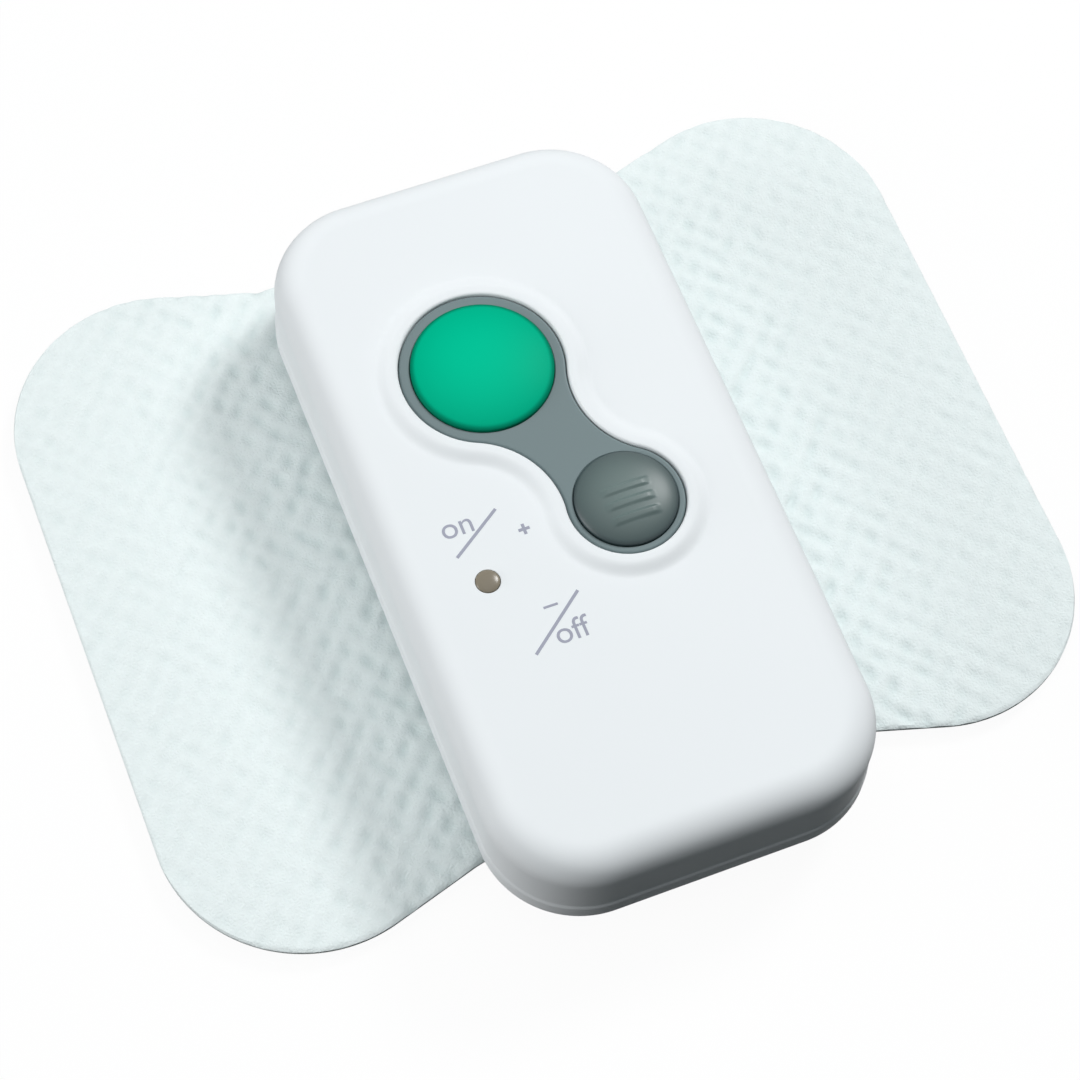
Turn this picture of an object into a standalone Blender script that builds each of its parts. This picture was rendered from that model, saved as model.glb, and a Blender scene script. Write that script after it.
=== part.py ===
"""A clip-on TENS unit: a two-button controller on the press studs of a butterfly electrode pad.

Metres, +Z up. The part rests on its gel, and the origin is in the middle of its footprint.
X runs across the controller and Y along it, with the coin cell at the -Y end.
"""

import math

import bmesh
import bpy
from mathutils import Matrix, Vector

# Electrode pad
PAD_WIDTH = 0.093
PAD_LENGTH = 0.072
PAD_CORNER = 0.0145
PAD_WAIST_NOTCH = 0.0035
PAD_WAIST_ROUND = 0.010
PAD_WING_FLARE_DEG = 16.5
PAD_OFFSET = 0.0053
GEL_THICKNESS = 0.0009
GEL_MARGIN = 0.001
GEL_GAP = 0.012
FILM_THICKNESS = 0.0002
FILM_MARGIN = 0.004
FABRIC_THICKNESS = 0.0006

# Press studs of the pad and their sockets in the controller
SNAP_SPACING = 0.022
STUD_HEAD_RADIUS = 0.00195
STUD_HEAD_ROUND = 0.0007
STUD_NECK_RADIUS = 0.00155
STUD_HEIGHT = 0.0026
STUD_WALL = 0.0004
STUD_FLANGE_RADIUS = 0.004
STUD_FLANGE = 0.0004
EYELET_FLANGE_RADIUS = 0.0032
EYELET_FLANGE = 0.00025
EYELET_POST_RADIUS = 0.0008
SOCKET_WALL = 0.0008
SOCKET_FLANGE_REACH = 0.0017
SOCKET_FLANGE = 0.0004
SOCKET_ROOF = 0.0004
SOCKET_ROOM = 0.0005
SNAP_CLEARANCE = 0.00015
SPRING_RADIUS = 0.0014
SPRING_WIRE = 0.0004
SPRING_TURNS = 2
SPRING_POINTS_A_TURN = 12

# Controller case
CASE_WIDTH = 0.038
CASE_LENGTH = 0.0745
CASE_CORNER = 0.0096
CASE_TOP_ROUND = 0.0033
CASE_BOTTOM_ROUND = 0.0042
WALL = 0.0018
ROOF = 0.0016
FLOOR = 0.0014
PARTING_HEIGHT = 0.0058
PARTING_GAP = 0.0002
LIP_HEIGHT = 0.0012
LIP_THICKNESS = 0.0007
BOSS_RADIUS = 0.0024
PILLAR_RADIUS = 0.0029
PILLAR_HEIGHT = 0.0032
BOARD_POST_RADIUS = 0.0013
FRONT_POST_Y = -0.0065
REAR_POST_Y = 0.016

# Case screws
SCREW_RADIUS = 0.00095
SCREW_TIP = 0.00038
SCREW_LENGTH = 0.0076
SCREW_HEAD_RADIUS = 0.0019
SCREW_HEAD = 0.0011
SCREW_HEAD_CHAMFER = 0.00035
SCREW_SINK = 0.0005
SCREW_CROSS = 0.0025
SCREW_SLOT = 0.0005

# Keypad: two round buttons in a dumbbell-shaped bezel, with a raised collar on the cover round it
GREEN_PLACE = (-0.0031, 0.0141)
GREEN_RADIUS = 0.00685
GREEN_RING = 0.00100
GREEN_PROUD = 0.00025
GREEN_CROWN = 0.0012
GREY_PLACE = (0.0045, -0.0035)
GREY_RADIUS = 0.0049
GREY_RING = 0.00060
GREY_PROUD = 0.0002
GREY_CROWN = 0.001
BRIDGE_ROUND = 0.0092
BEZEL_FLANGE = 0.0009
BEZEL_FLANGE_REACH = 0.0012
BEZEL_SINK = 0.0002
COLLAR_HEIGHT = 0.0006
COLLAR_RIM = 0.00095
COLLAR_SLOPE = 0.0018
BUTTON_CLEARANCE = 0.00025
BUTTON_TRAVEL = 0.0005
BUTTON_FLANGE = 0.0006
BUTTON_FLANGE_REACH = 0.0007
BUTTON_WALL = 0.0012
BUTTON_STEM_RADIUS = 0.0018
RIB_LENGTH = 0.0043
RIB_WIDTH = 0.0006
RIB_HEIGHT = 0.0003
RIB_SPACING = 0.0015
RIB_SHIFT = -0.0009

# Lamp
LAMP_FROM_SIDE = 0.0085
LAMP_Y = -0.0068
LENS_RADIUS = 0.00115
LENS_PROUD = 0.0003
LENS_FLANGE_REACH = 0.0008
LENS_FLANGE = 0.0006
LENS_CLEARANCE = 0.00015
LED_WIDTH = 0.002
LED_LENGTH = 0.0013
LED_HEIGHT = 0.0008

# Circuit board and what it carries
BOARD_THICKNESS = 0.001
BOARD_MARGIN = 0.0005
SWITCH_WIDTH = 0.006
SWITCH_HEIGHT = 0.002
PLUNGER_RADIUS = 0.00165
PLUNGER_PROUD = 0.0005
PLUNGER_LENGTH = 0.0011
PLUNGER_EDGE = 0.00025
CHIP_PLACE = (0.001, -0.016)
CHIP_LENGTH = 0.0099
CHIP_WIDTH = 0.0039
CHIP_HEIGHT = 0.0015
CHIP_LEG_PITCH = 0.00127
CHIP_LEG_WIDTH = 0.0005
CHIP_LEG_REACH = 0.001
CHIP_LEG_HEIGHT = 0.0006
CHIP_LEGS_A_SIDE = 8
CRYSTAL_PLACE = (0.0, -0.0245)
CRYSTAL_LENGTH = 0.0102
CRYSTAL_WIDTH = 0.0045
CRYSTAL_HEIGHT = 0.003
COIL_PLACE = (0.0065, 0.0255)
COIL_RADIUS = 0.0036
COIL_HEIGHT = 0.004
COIL_FLANGE = 0.0007
COIL_WAIST_RADIUS = 0.0016
WINDING_THICKNESS = 0.0014
CAPACITOR_PLACE = (-0.0075, 0.0285)
CAPACITOR_RADIUS = 0.0025
CAPACITOR_HEIGHT = 0.0042
CAPACITOR_CRIMP = 0.0003
CAPACITOR_GROOVE = 0.00105
TRANSISTOR_SPACING = 0.022
TRANSISTOR_Y = 0.0005
TRANSISTOR_LENGTH = 0.0029
TRANSISTOR_WIDTH = 0.0014
TRANSISTOR_HEIGHT = 0.001

# Coin cell, its contacts and its door
CELL_Y = -0.019
CELL_RADIUS = 0.010
CELL_THICKNESS = 0.0032
CELL_CAP_RADIUS = 0.0086
CELL_CAP_STEP = 0.00025
CELL_CLEARANCE = 0.00045
CONTACT_ROOM = 0.0014
CONTACT_THICKNESS = 0.00025
CONTACT_WIDTH = 0.005
CONTACT_FOOT = 0.003
LEAF_LENGTH = 0.008
LEAF_CROOK = 0.0016
DOOR_SINK = 0.00015
DOOR_THICKNESS = 0.0011
DOOR_RING_WALL = 0.00085
DOOR_LUG_REACH = 0.0012
DOOR_LUG_THICKNESS = 0.0008
DOOR_LUG_STEP = 0.00002
DOOR_LUGS = 3
DOOR_LUG_ANGLE_DEG = 24.0
DOOR_TURN_DEG = 40.0
DOOR_SLOT_LENGTH = 0.014
DOOR_SLOT_WIDTH = 0.002
DOOR_SLOT_DEPTH = 0.0006

# Clearances: between pieces that touch, between bonded layers, and past a face that is cut through
FIT = 0.0003
BOND = 0.0001
OVERRUN = 0.001

# Facets of round shapes, the distance within which points are one, and the turn within which faces are
ARC_STEP_DEG = 12.0
TINY_ARC_STEP_DEG = 40.0
ROUND_STEPS = 28
SMALL_STEPS = 16
TOP_ROUND_STEPS = 5
BOTTOM_ROUND_STEPS = 5
EDGE_ROUND_STEPS = 3
BUTTON_DOME_STEPS = 7
LENS_DOME_STEPS = 4
COLLAR_STEPS = 6
RIM_ANGLE = math.radians(50)
SHARP_ANGLE = math.radians(35)
WELD = 0.000001
FLAT = 0.0005

# Heights in the pad, from the floor
film_low = GEL_THICKNESS + BOND
fabric_low = film_low + FILM_THICKNESS + BOND
pad_top = fabric_low + FABRIC_THICKNESS

# Heights in the controller, from its base
cell_low = DOOR_SINK + DOOR_THICKNESS + FIT
cell_high = cell_low + CELL_THICKNESS
board_low = cell_high + CONTACT_ROOM
board_high = board_low + BOARD_THICKNESS
part_low = board_high + BOND
switch_high = part_low + SWITCH_HEIGHT
plunger_high = switch_high + PLUNGER_PROUD
button_low = plunger_high + FIT
button_flange_high = button_low + BUTTON_FLANGE
bezel_low = button_flange_high + FIT
bezel_flange_high = bezel_low + BEZEL_FLANGE
roof_low = bezel_flange_high + FIT
case_top = roof_low + ROOF
collar_top = case_top + COLLAR_HEIGHT
bezel_top = collar_top - BEZEL_SINK
top_cover_low = PARTING_HEIGHT + PARTING_GAP
lip_high = PARTING_HEIGHT + LIP_HEIGHT

# Sizes that follow from a neighbour
ring_radius = GREEN_RADIUS + GREEN_RING
small_radius = GREY_RADIUS + GREY_RING
socket_bore = STUD_HEAD_RADIUS + SNAP_CLEARANCE
socket_radius = socket_bore + SOCKET_WALL
stud_recess = STUD_FLANGE + FIT
socket_ceiling = STUD_HEIGHT - FIT + SOCKET_ROOM
socket_high = socket_ceiling + SOCKET_ROOF
lip_inset = WALL - LIP_THICKNESS
foot_round = min(CASE_BOTTOM_ROUND, PARTING_HEIGHT - FIT)
door_ring_inside = CELL_RADIUS + CELL_CLEARANCE
door_radius = door_ring_inside + DOOR_RING_WALL
door_hole = door_radius + FIT
door_lug_low = FLOOR + FIT
door_lug_high = door_lug_low + DOOR_LUG_THICKNESS
corner_reach = CASE_CORNER - WALL - BOSS_RADIUS - FIT
boss_x = CASE_WIDTH / 2 - CASE_CORNER + corner_reach * math.sqrt(0.5)
boss_y = CASE_LENGTH / 2 - CASE_CORNER + corner_reach * math.sqrt(0.5)
boss_low = PILLAR_HEIGHT + FIT
pillar_inset = min(CASE_CORNER - corner_reach - PILLAR_RADIUS, foot_round)
foot_rise = foot_round - math.sqrt(foot_round**2 - (foot_round - pillar_inset) ** 2)
pillar_low = min(max(FLOOR / 2, foot_rise + BOND), FLOOR - BOND)
boss_root = roof_low + ROOF / 2
post_x = CASE_WIDTH / 2 - WALL - BOARD_MARGIN - 2 * BOARD_POST_RADIUS

# Where the pad and the controller stand, with the origin in the middle of the footprint
footprint_front = min(-CASE_LENGTH / 2, PAD_OFFSET - PAD_LENGTH / 2)
footprint_back = max(CASE_LENGTH / 2, PAD_OFFSET + PAD_LENGTH / 2)
case_y = -(footprint_front + footprint_back) / 2
case_z = pad_top + FIT

lamp_place = (LAMP_FROM_SIDE - CASE_WIDTH / 2, LAMP_Y)
snap_places = [("left", -SNAP_SPACING / 2), ("right", SNAP_SPACING / 2)]
corners = [(sx * boss_x, sy * boss_y) for sx in (-1, 1) for sy in (-1, 1)]
post_places = [(sx * post_x, y) for sx in (-1, 1) for y in (FRONT_POST_Y, REAR_POST_Y)]


def clear_scene():
    """Start from an empty scene."""
    for old in list(bpy.data.objects):
        bpy.data.objects.remove(old)


def new_collection(name):
    """A collection linked to the scene."""
    made = bpy.data.collections.new(name)
    bpy.context.scene.collection.children.link(made)
    return made


def finish(name, colour, roughness, metallic=0.0):
    """A Principled material of one colour."""
    made = bpy.data.materials.new(name)
    made.use_nodes = True
    shader = made.node_tree.nodes["Principled BSDF"]
    shader.inputs["Base Color"].default_value = (*colour, 1.0)
    shader.inputs["Roughness"].default_value = roughness
    shader.inputs["Metallic"].default_value = metallic
    return made


clear_scene()
part_collection = new_collection("tens_unit")
cutter_collection = new_collection("cutters")

white_plastic = finish("white_plastic", (0.83, 0.87, 0.90), 0.35)
grey_plastic = finish("grey_plastic", (0.23, 0.30, 0.32), 0.4)
green_plastic = finish("green_plastic", (0.002, 0.51, 0.30), 0.4)
grey_gloss = finish("grey_gloss", (0.26, 0.34, 0.32), 0.25)
smoked_lens = finish("smoked_lens", (0.26, 0.24, 0.19), 0.2)
lamp_resin = finish("lamp_resin", (0.75, 0.72, 0.55), 0.3)
white_nonwoven = finish("white_nonwoven", (0.80, 0.86, 0.86), 0.9)
clear_gel = finish("clear_gel", (0.65, 0.72, 0.72), 0.15)
carbon_black = finish("carbon_black", (0.02, 0.02, 0.022), 0.6)
nickel = finish("nickel", (0.62, 0.60, 0.57), 0.25, 1.0)
spring_steel = finish("spring_steel", (0.50, 0.50, 0.50), 0.3, 1.0)
green_board = finish("green_board", (0.01, 0.13, 0.05), 0.5)
black_resin = finish("black_resin", (0.02, 0.02, 0.02), 0.5)
ferrite = finish("ferrite", (0.05, 0.05, 0.055), 0.7)
copper = finish("copper", (0.72, 0.30, 0.14), 0.3, 1.0)
can_aluminium = finish("can_aluminium", (0.70, 0.70, 0.72), 0.3, 1.0)
cell_steel = finish("cell_steel", (0.58, 0.57, 0.55), 0.25, 1.0)


def frame_at(name, place, parent=None):
    """An empty that other pieces hang on."""
    made = bpy.data.objects.new(name, None)
    part_collection.objects.link(made)
    made.location = place
    made.parent = parent
    made.empty_display_size = 0.005
    return made


pad_frame = frame_at("electrode_pad", (0, case_y + PAD_OFFSET, 0))
case_frame = frame_at("controller", (0, case_y, case_z))
green_axis = frame_at("increase_axis", (*GREEN_PLACE, 0), case_frame)
grey_axis = frame_at("decrease_axis", (*GREY_PLACE, 0), case_frame)
door_axis = frame_at("door_axis", (0, CELL_Y, 0), case_frame)


def part(name, mesh, material, parent, at=(0, 0, 0)):
    """A sub-part of the object."""
    made = bpy.data.objects.new(name, mesh)
    part_collection.objects.link(made)
    made.parent = parent
    made.location = at
    made.data.materials.clear()
    made.data.materials.append(material)
    return made


def tool(mesh, parent, at=(0, 0, 0)):
    """A shape that cuts or joins a part and isn't one itself."""
    made = bpy.data.objects.new("tool", mesh)
    cutter_collection.objects.link(made)
    made.parent = parent
    made.location = at
    made.hide_render = True
    made.display_type = "WIRE"
    return made


def combine(target, operation, mesh, at):
    """Cut a mesh out of a part, or join it to the part, in the part's own frame."""
    step = target.modifiers.new(operation.lower(), "BOOLEAN")
    step.operation = operation
    step.solver = "EXACT"
    step.object = tool(mesh, target.parent, target.location + Vector(at))


def cut(target, mesh, at=(0, 0, 0)):
    """Take a shape out of a part."""
    combine(target, "DIFFERENCE", mesh, at)


def join(target, mesh, at=(0, 0, 0)):
    """Add a shape to a part."""
    combine(target, "UNION", mesh, at)


def round_edges(target, width, segments, weighted=False):
    """Bevel the sharp edges of a part, or only those that carry a bevel weight."""
    step = target.modifiers.new("round", "BEVEL")
    step.width = width
    step.segments = segments
    step.limit_method = "WEIGHT" if weighted else "ANGLE"
    step.angle_limit = RIM_ANGLE
    step.use_clamp_overlap = False


def baked(target):
    """The evaluated mesh of an object, which is then removed."""
    bpy.context.view_layer.update()
    graph = bpy.context.evaluated_depsgraph_get()
    mesh = bpy.data.meshes.new_from_object(target.evaluated_get(graph))
    bpy.data.objects.remove(target)
    return mesh


def welded(mesh):
    """The same mesh with coincident points merged, flat faces made whole and faces turned outwards."""
    shape = bmesh.new()
    shape.from_mesh(mesh)
    bmesh.ops.remove_doubles(shape, verts=shape.verts, dist=WELD)
    bmesh.ops.dissolve_limit(shape, angle_limit=FLAT, verts=shape.verts, edges=shape.edges)
    bmesh.ops.recalc_face_normals(shape, faces=shape.faces)
    shape.to_mesh(mesh)
    shape.free()
    return mesh


def arc(centre, radius, start, end, step_deg=ARC_STEP_DEG):
    """Points on a circle from one angle to another, both included."""
    steps = max(1, math.ceil(abs(end - start) / math.radians(step_deg) - WELD))
    angles = [start + (end - start) * step / steps for step in range(steps + 1)]
    return [(centre[0] + radius * math.cos(a), centre[1] + radius * math.sin(a)) for a in angles]


def rounded_rectangle(width, length, radius, inset=0.0):
    """Outline of a rounded rectangle, drawn in all round by inset."""
    points = []
    for quarter, (sx, sy) in enumerate(((1, 1), (-1, 1), (-1, -1), (1, -1))):
        centre = (sx * (width / 2 - radius), sy * (length / 2 - radius))
        points += arc(centre, radius - inset, quarter * math.pi / 2, (quarter + 1) * math.pi / 2)
    return points


def case_outline(inset=0.0):
    """Plan of the controller, drawn in by inset."""
    return rounded_rectangle(CASE_WIDTH, CASE_LENGTH, CASE_CORNER, inset)


def keypad_outline(offset=0.0):
    """Plan of the keypad: two circles joined by a waist of concave arcs, let out by offset."""
    big = Vector(GREEN_PLACE)
    small = Vector(GREY_PLACE)
    span = (small - big).length
    forward = (small - big) / span
    aside = Vector((-forward.y, forward.x))
    to_big = ring_radius + BRIDGE_ROUND
    to_small = small_radius + BRIDGE_ROUND
    along = (span**2 + to_big**2 - to_small**2) / (2 * span)
    away = math.sqrt(to_big**2 - along**2)
    heading = math.atan2(forward.y, forward.x)
    open_big = math.atan2(away, along)
    open_small = math.atan2(away, span - along)
    waist = BRIDGE_ROUND - offset
    right = big + forward * along - aside * away
    left = big + forward * along + aside * away
    points = arc(big, ring_radius + offset, heading + open_big, heading + 2 * math.pi - open_big)[:-1]
    points += arc(right, waist, heading + math.pi - open_big, heading + open_small)[:-1]
    small_start = heading - math.pi + open_small
    points += arc(small, small_radius + offset, small_start, heading + math.pi - open_small)[:-1]
    points += arc(left, waist, heading - open_small, heading - math.pi + open_big)[:-1]
    return points


def pad_quarter(inset):
    """The pad's outline from its right-hand side round a corner to its waist, drawn in by inset."""
    flare = math.radians(PAD_WING_FLARE_DEG)
    centre = (PAD_WIDTH / 2 - PAD_CORNER, PAD_LENGTH / 2 - PAD_CORNER)
    waist_y = PAD_LENGTH / 2 - PAD_WAIST_NOTCH
    bend_x = centre[0] - PAD_CORNER * math.tan(flare / 2) - PAD_WAIST_NOTCH / math.tan(flare)
    bend = (bend_x - PAD_WAIST_ROUND * math.tan(flare / 2), waist_y + PAD_WAIST_ROUND)
    points = arc(centre, PAD_CORNER - inset, 0, math.pi / 2 + flare)
    return points + arc(bend, PAD_WAIST_ROUND + inset, flare - math.pi / 2, -math.pi / 2)


def pad_outline(inset=0.0):
    """Plan of the pad: two rounded wings that narrow to a waist, drawn in by inset."""
    quarter = pad_quarter(inset)
    top = quarter + [(-x, y) for x, y in reversed(quarter)]
    return top + [(-x, -y) for x, y in top]


def wing_outline(side, inset):
    """Plan of what lies under one wing, from the middle gap out to the pad's edge less inset."""
    quarter = pad_quarter(inset)
    inner_y = quarter[-1][1]
    right = quarter + [(GEL_GAP / 2, inner_y), (GEL_GAP / 2, -inner_y)]
    right += [(x, -y) for x, y in reversed(quarter)]
    return right if side > 0 else [(-x, y) for x, y in reversed(right)]


def sector_outline(inner, outer, middle, width):
    """Plan of part of a ring about the origin, with its middle angle and its width in degrees."""
    start = math.radians(middle - width / 2)
    end = math.radians(middle + width / 2)
    return arc((0, 0), outer, start, end) + arc((0, 0), inner, end, start)


def slab(outline, low, high):
    """A flat outline filled and carried up from low to high."""
    return welded(loft([(outline, low), (outline, high)]))


def rim_weighted(mesh, height):
    """Give the outer edges of a slab at one height a bevel weight."""
    shape = bmesh.new()
    shape.from_mesh(mesh)
    weight = shape.edges.layers.float.new("bevel_weight_edge")
    for edge in shape.edges:
        level = all(abs(corner.co.z - height) < WELD for corner in edge.verts)
        if level and edge.calc_face_angle(0) > RIM_ANGLE:
            edge[weight] = 1.0
    shape.to_mesh(mesh)
    shape.free()
    return mesh


def rounded_slab(outline, low, high, radius, segments, rim):
    """A slab whose top or bottom rim, at the height rim, is rounded."""
    holder = tool(rim_weighted(slab(outline, low, high), rim), None)
    round_edges(holder, radius, segments, weighted=True)
    return baked(holder)


def pegs(places, radius, low, high, steps=SMALL_STEPS):
    """Upright round pegs at several places, as one mesh."""
    shape = bmesh.new()
    for x, y in places:
        at = Matrix.Translation((x, y, (low + high) / 2))
        sizes = {"radius1": radius, "radius2": radius, "depth": high - low}
        bmesh.ops.create_cone(shape, cap_ends=True, segments=steps, matrix=at, **sizes)
    mesh = bpy.data.meshes.new("pegs")
    shape.to_mesh(mesh)
    shape.free()
    return mesh


def boxes(sizes_and_places):
    """Upright boxes, each given as its size and its centre, as one mesh."""
    shape = bmesh.new()
    for size, place in sizes_and_places:
        bmesh.ops.create_cube(shape, matrix=Matrix.LocRotScale(place, None, size))
    mesh = bpy.data.meshes.new("boxes")
    shape.to_mesh(mesh)
    shape.free()
    return mesh


def box(size, place):
    """One upright box."""
    return boxes([(size, place)])


def loft(sections):
    """A skin over matching outlines, each with its height, closed at both ends."""
    shape = bmesh.new()
    rings = [[shape.verts.new((x, y, height)) for x, y in outline] for outline, height in sections]
    for lower, upper in zip(rings, rings[1:]):
        for index in range(len(lower)):
            after = (index + 1) % len(lower)
            shape.faces.new((lower[index], lower[after], upper[after], upper[index]))
    shape.faces.new(list(reversed(rings[0])))
    shape.faces.new(rings[-1])
    mesh = bpy.data.meshes.new("loft")
    shape.to_mesh(mesh)
    shape.free()
    return mesh


def profile_mesh(profile, closed):
    """A line of (radius, height) points, ready to be turned about Z."""
    mesh = bpy.data.meshes.new("profile")
    count = len(profile)
    edges = [(index, (index + 1) % count) for index in range(count if closed else count - 1)]
    mesh.from_pydata([(radius, 0, height) for radius, height in profile], edges, [])
    return mesh


def turn(target, steps):
    """Turn a part's profile about Z."""
    step = target.modifiers.new("turn", "SCREW")
    step.axis = "Z"
    step.steps = steps
    step.render_steps = steps
    step.use_merge_vertices = True
    step.merge_threshold = WELD
    step.use_smooth_shade = True


def turned(profile, steps=SMALL_STEPS, closed=False):
    """The mesh of a profile turned about Z: from axis to axis, or closed round a bore."""
    holder = tool(profile_mesh(profile, closed), None)
    turn(holder, steps)
    return welded(baked(holder))


def smooth(target):
    """Shade a part smooth, with its sharp edges kept."""
    target.data.shade_smooth()
    target.data.set_sharp_from_angle(angle=SHARP_ANGLE)


def dome(radius, edge, crown, steps):
    """A turned cap's profile, from its crown at the axis down towards its edge: a flattened ellipse."""
    quarter = [math.pi / 2 * step / steps for step in range(steps)]
    return [(radius * math.sin(a), edge + crown * math.cos(a)) for a in quarter]


def ribbon(path, width, thickness):
    """A strip of sheet metal: a bent line of (x, z) points, spread along Y and given its thickness."""
    mesh = bpy.data.meshes.new("ribbon")
    near = [(x, -width / 2, z) for x, z in path]
    far = [(x, width / 2, z) for x, z in path]
    count = len(path)
    faces = [(i, i + 1, count + i + 1, count + i) for i in range(count - 1)]
    mesh.from_pydata(near + far, [], faces)
    holder = tool(mesh, None)
    step = holder.modifiers.new("sheet", "SOLIDIFY")
    step.thickness = thickness
    step.offset = 0.0
    step.use_even_offset = True
    return welded(baked(holder))


def make_pad():
    """The electrode pad: fabric on top, then carbon film and gel under each wing."""
    fabric = part("pad_fabric", slab(pad_outline(), fabric_low, pad_top), white_nonwoven, pad_frame)
    post_hole = EYELET_POST_RADIUS + FIT
    spots = [(x, 0) for _, x in snap_places]
    cut(fabric, pegs(spots, post_hole, fabric_low - OVERRUN, pad_top + OVERRUN))
    for side, x in snap_places:
        film_mesh = slab(wing_outline(x, FILM_MARGIN), film_low, film_low + FILM_THICKNESS)
        film = part(side + "_carbon_film", film_mesh, carbon_black, pad_frame)
        cut(film, pegs([(x, 0)], post_hole, film_low - OVERRUN, fabric_low + OVERRUN))
        gel_mesh = slab(wing_outline(x, GEL_MARGIN), 0, GEL_THICKNESS)
        gel = part(side + "_gel_pad", gel_mesh, clear_gel, pad_frame)
        pocket_low = GEL_THICKNESS - EYELET_FLANGE - FIT
        cut(gel, pegs([(x, 0)], EYELET_FLANGE_RADIUS + FIT, pocket_low, GEL_THICKNESS + OVERRUN))


def make_studs():
    """The press studs on the pad, each a hollow head over the post of its eyelet."""
    flange_low = pad_top + BOND
    flange_high = flange_low + STUD_FLANGE
    head_high = pad_top + STUD_HEIGHT
    hollow = STUD_NECK_RADIUS - STUD_WALL
    rim = (STUD_HEAD_RADIUS - STUD_HEAD_ROUND, head_high - STUD_HEAD_ROUND)
    undercut = math.acos((STUD_NECK_RADIUS - rim[0]) / STUD_HEAD_ROUND)
    stud = [(0, head_high)] + arc(rim, STUD_HEAD_ROUND, math.pi / 2, -undercut, TINY_ARC_STEP_DEG)
    stud += [(STUD_NECK_RADIUS, flange_high), (STUD_FLANGE_RADIUS, flange_high)]
    stud += [(STUD_FLANGE_RADIUS, flange_low), (hollow, flange_low)]
    stud += [(hollow, head_high - STUD_WALL), (0, head_high - STUD_WALL)]
    eyelet_low = GEL_THICKNESS - EYELET_FLANGE
    post_high = head_high - STUD_WALL - FIT
    eyelet = [(0, post_high), (EYELET_POST_RADIUS, post_high), (EYELET_POST_RADIUS, GEL_THICKNESS)]
    eyelet += [(EYELET_FLANGE_RADIUS, GEL_THICKNESS), (EYELET_FLANGE_RADIUS, eyelet_low), (0, eyelet_low)]
    for side, x in snap_places:
        smooth(part(side + "_snap_stud", turned(stud), nickel, pad_frame, (x, 0, 0)))
        smooth(part(side + "_stud_eyelet", turned(eyelet), nickel, pad_frame, (x, 0, 0)))


def collar_sections():
    """Outlines of the raised collar: an S-shaped slope from the roof up to a flat rim."""
    sections = [(keypad_outline(COLLAR_RIM + COLLAR_SLOPE), boss_root)]
    for step in range(COLLAR_STEPS + 1):
        share = step / COLLAR_STEPS
        rise = (1 - math.cos(math.pi * share)) / 2
        offset = COLLAR_RIM + COLLAR_SLOPE * (1 - share)
        sections.append((keypad_outline(offset), case_top + COLLAR_HEIGHT * rise + WELD))
    return sections


def make_top_cover():
    """The upper shell, with the collar and opening of the keypad, screw bosses and board posts."""
    shell = rounded_slab(case_outline(), top_cover_low, case_top, CASE_TOP_ROUND, TOP_ROUND_STEPS, case_top)
    cover = part("top_cover", shell, white_plastic, case_frame)
    inner_round = max(CASE_TOP_ROUND - WALL, FIT)
    cavity_low = top_cover_low - OVERRUN
    inside = case_outline(WALL)
    cut(cover, rounded_slab(inside, cavity_low, roof_low, inner_round, EDGE_ROUND_STEPS, roof_low))
    rebate = case_outline(lip_inset - FIT)
    cut(cover, slab(rebate, cavity_low, lip_high + FIT))
    join(cover, pegs(corners, BOSS_RADIUS, boss_low, boss_root))
    join(cover, pegs(post_places, BOARD_POST_RADIUS, board_high + FIT, boss_root))
    screw_top = SCREW_SINK + SCREW_HEAD + SCREW_LENGTH
    cut(cover, pegs(corners, SCREW_RADIUS + FIT, boss_low - OVERRUN, screw_top + FIT))
    join(cover, loft(collar_sections()))
    cut(cover, slab(keypad_outline(FIT), roof_low - OVERRUN, collar_top + OVERRUN))
    cut(cover, pegs([lamp_place], LENS_RADIUS + LENS_CLEARANCE, roof_low - OVERRUN, case_top + OVERRUN))
    smooth(cover)


def make_bottom_cover():
    """The lower tray, with its lip, screw pillars, board posts, socket seats and door opening."""
    tray = rounded_slab(case_outline(), 0, PARTING_HEIGHT, foot_round, BOTTOM_ROUND_STEPS, 0)
    cover = part("bottom_cover", tray, white_plastic, case_frame)
    join(cover, slab(case_outline(lip_inset), PARTING_HEIGHT / 2, lip_high))
    cut(cover, slab(case_outline(WALL), FLOOR, lip_high + OVERRUN))
    join(cover, pegs(corners, PILLAR_RADIUS, pillar_low, PILLAR_HEIGHT))
    join(cover, pegs(post_places, BOARD_POST_RADIUS, FLOOR / 2, board_low - FIT))
    sink = SCREW_SINK + SCREW_HEAD + FIT
    cut(cover, pegs(corners, SCREW_HEAD_RADIUS + FIT, -OVERRUN, sink))
    cut(cover, pegs(corners, SCREW_RADIUS + FIT, sink - FIT, PILLAR_HEIGHT + OVERRUN))
    seats = [(x, PAD_OFFSET) for _, x in snap_places]
    cut(cover, pegs(seats, STUD_FLANGE_RADIUS + FIT, -OVERRUN, stud_recess))
    cut(cover, pegs(seats, socket_radius + FIT, stud_recess - FIT, FLOOR + OVERRUN, ROUND_STEPS))
    cut(cover, pegs([(0, CELL_Y)], door_hole, -OVERRUN, FLOOR + OVERRUN, ROUND_STEPS))
    for lug in range(DOOR_LUGS):
        middle = 90 + 360 * lug / DOOR_LUGS + DOOR_TURN_DEG
        notch_width = DOOR_LUG_ANGLE_DEG + 2 * math.degrees(FIT / door_radius)
        notch = sector_outline(door_hole - FIT, door_hole + DOOR_LUG_REACH, middle, notch_width)
        cut(cover, slab(notch, -OVERRUN, FLOOR + OVERRUN), (0, CELL_Y, 0))
    smooth(cover)


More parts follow.
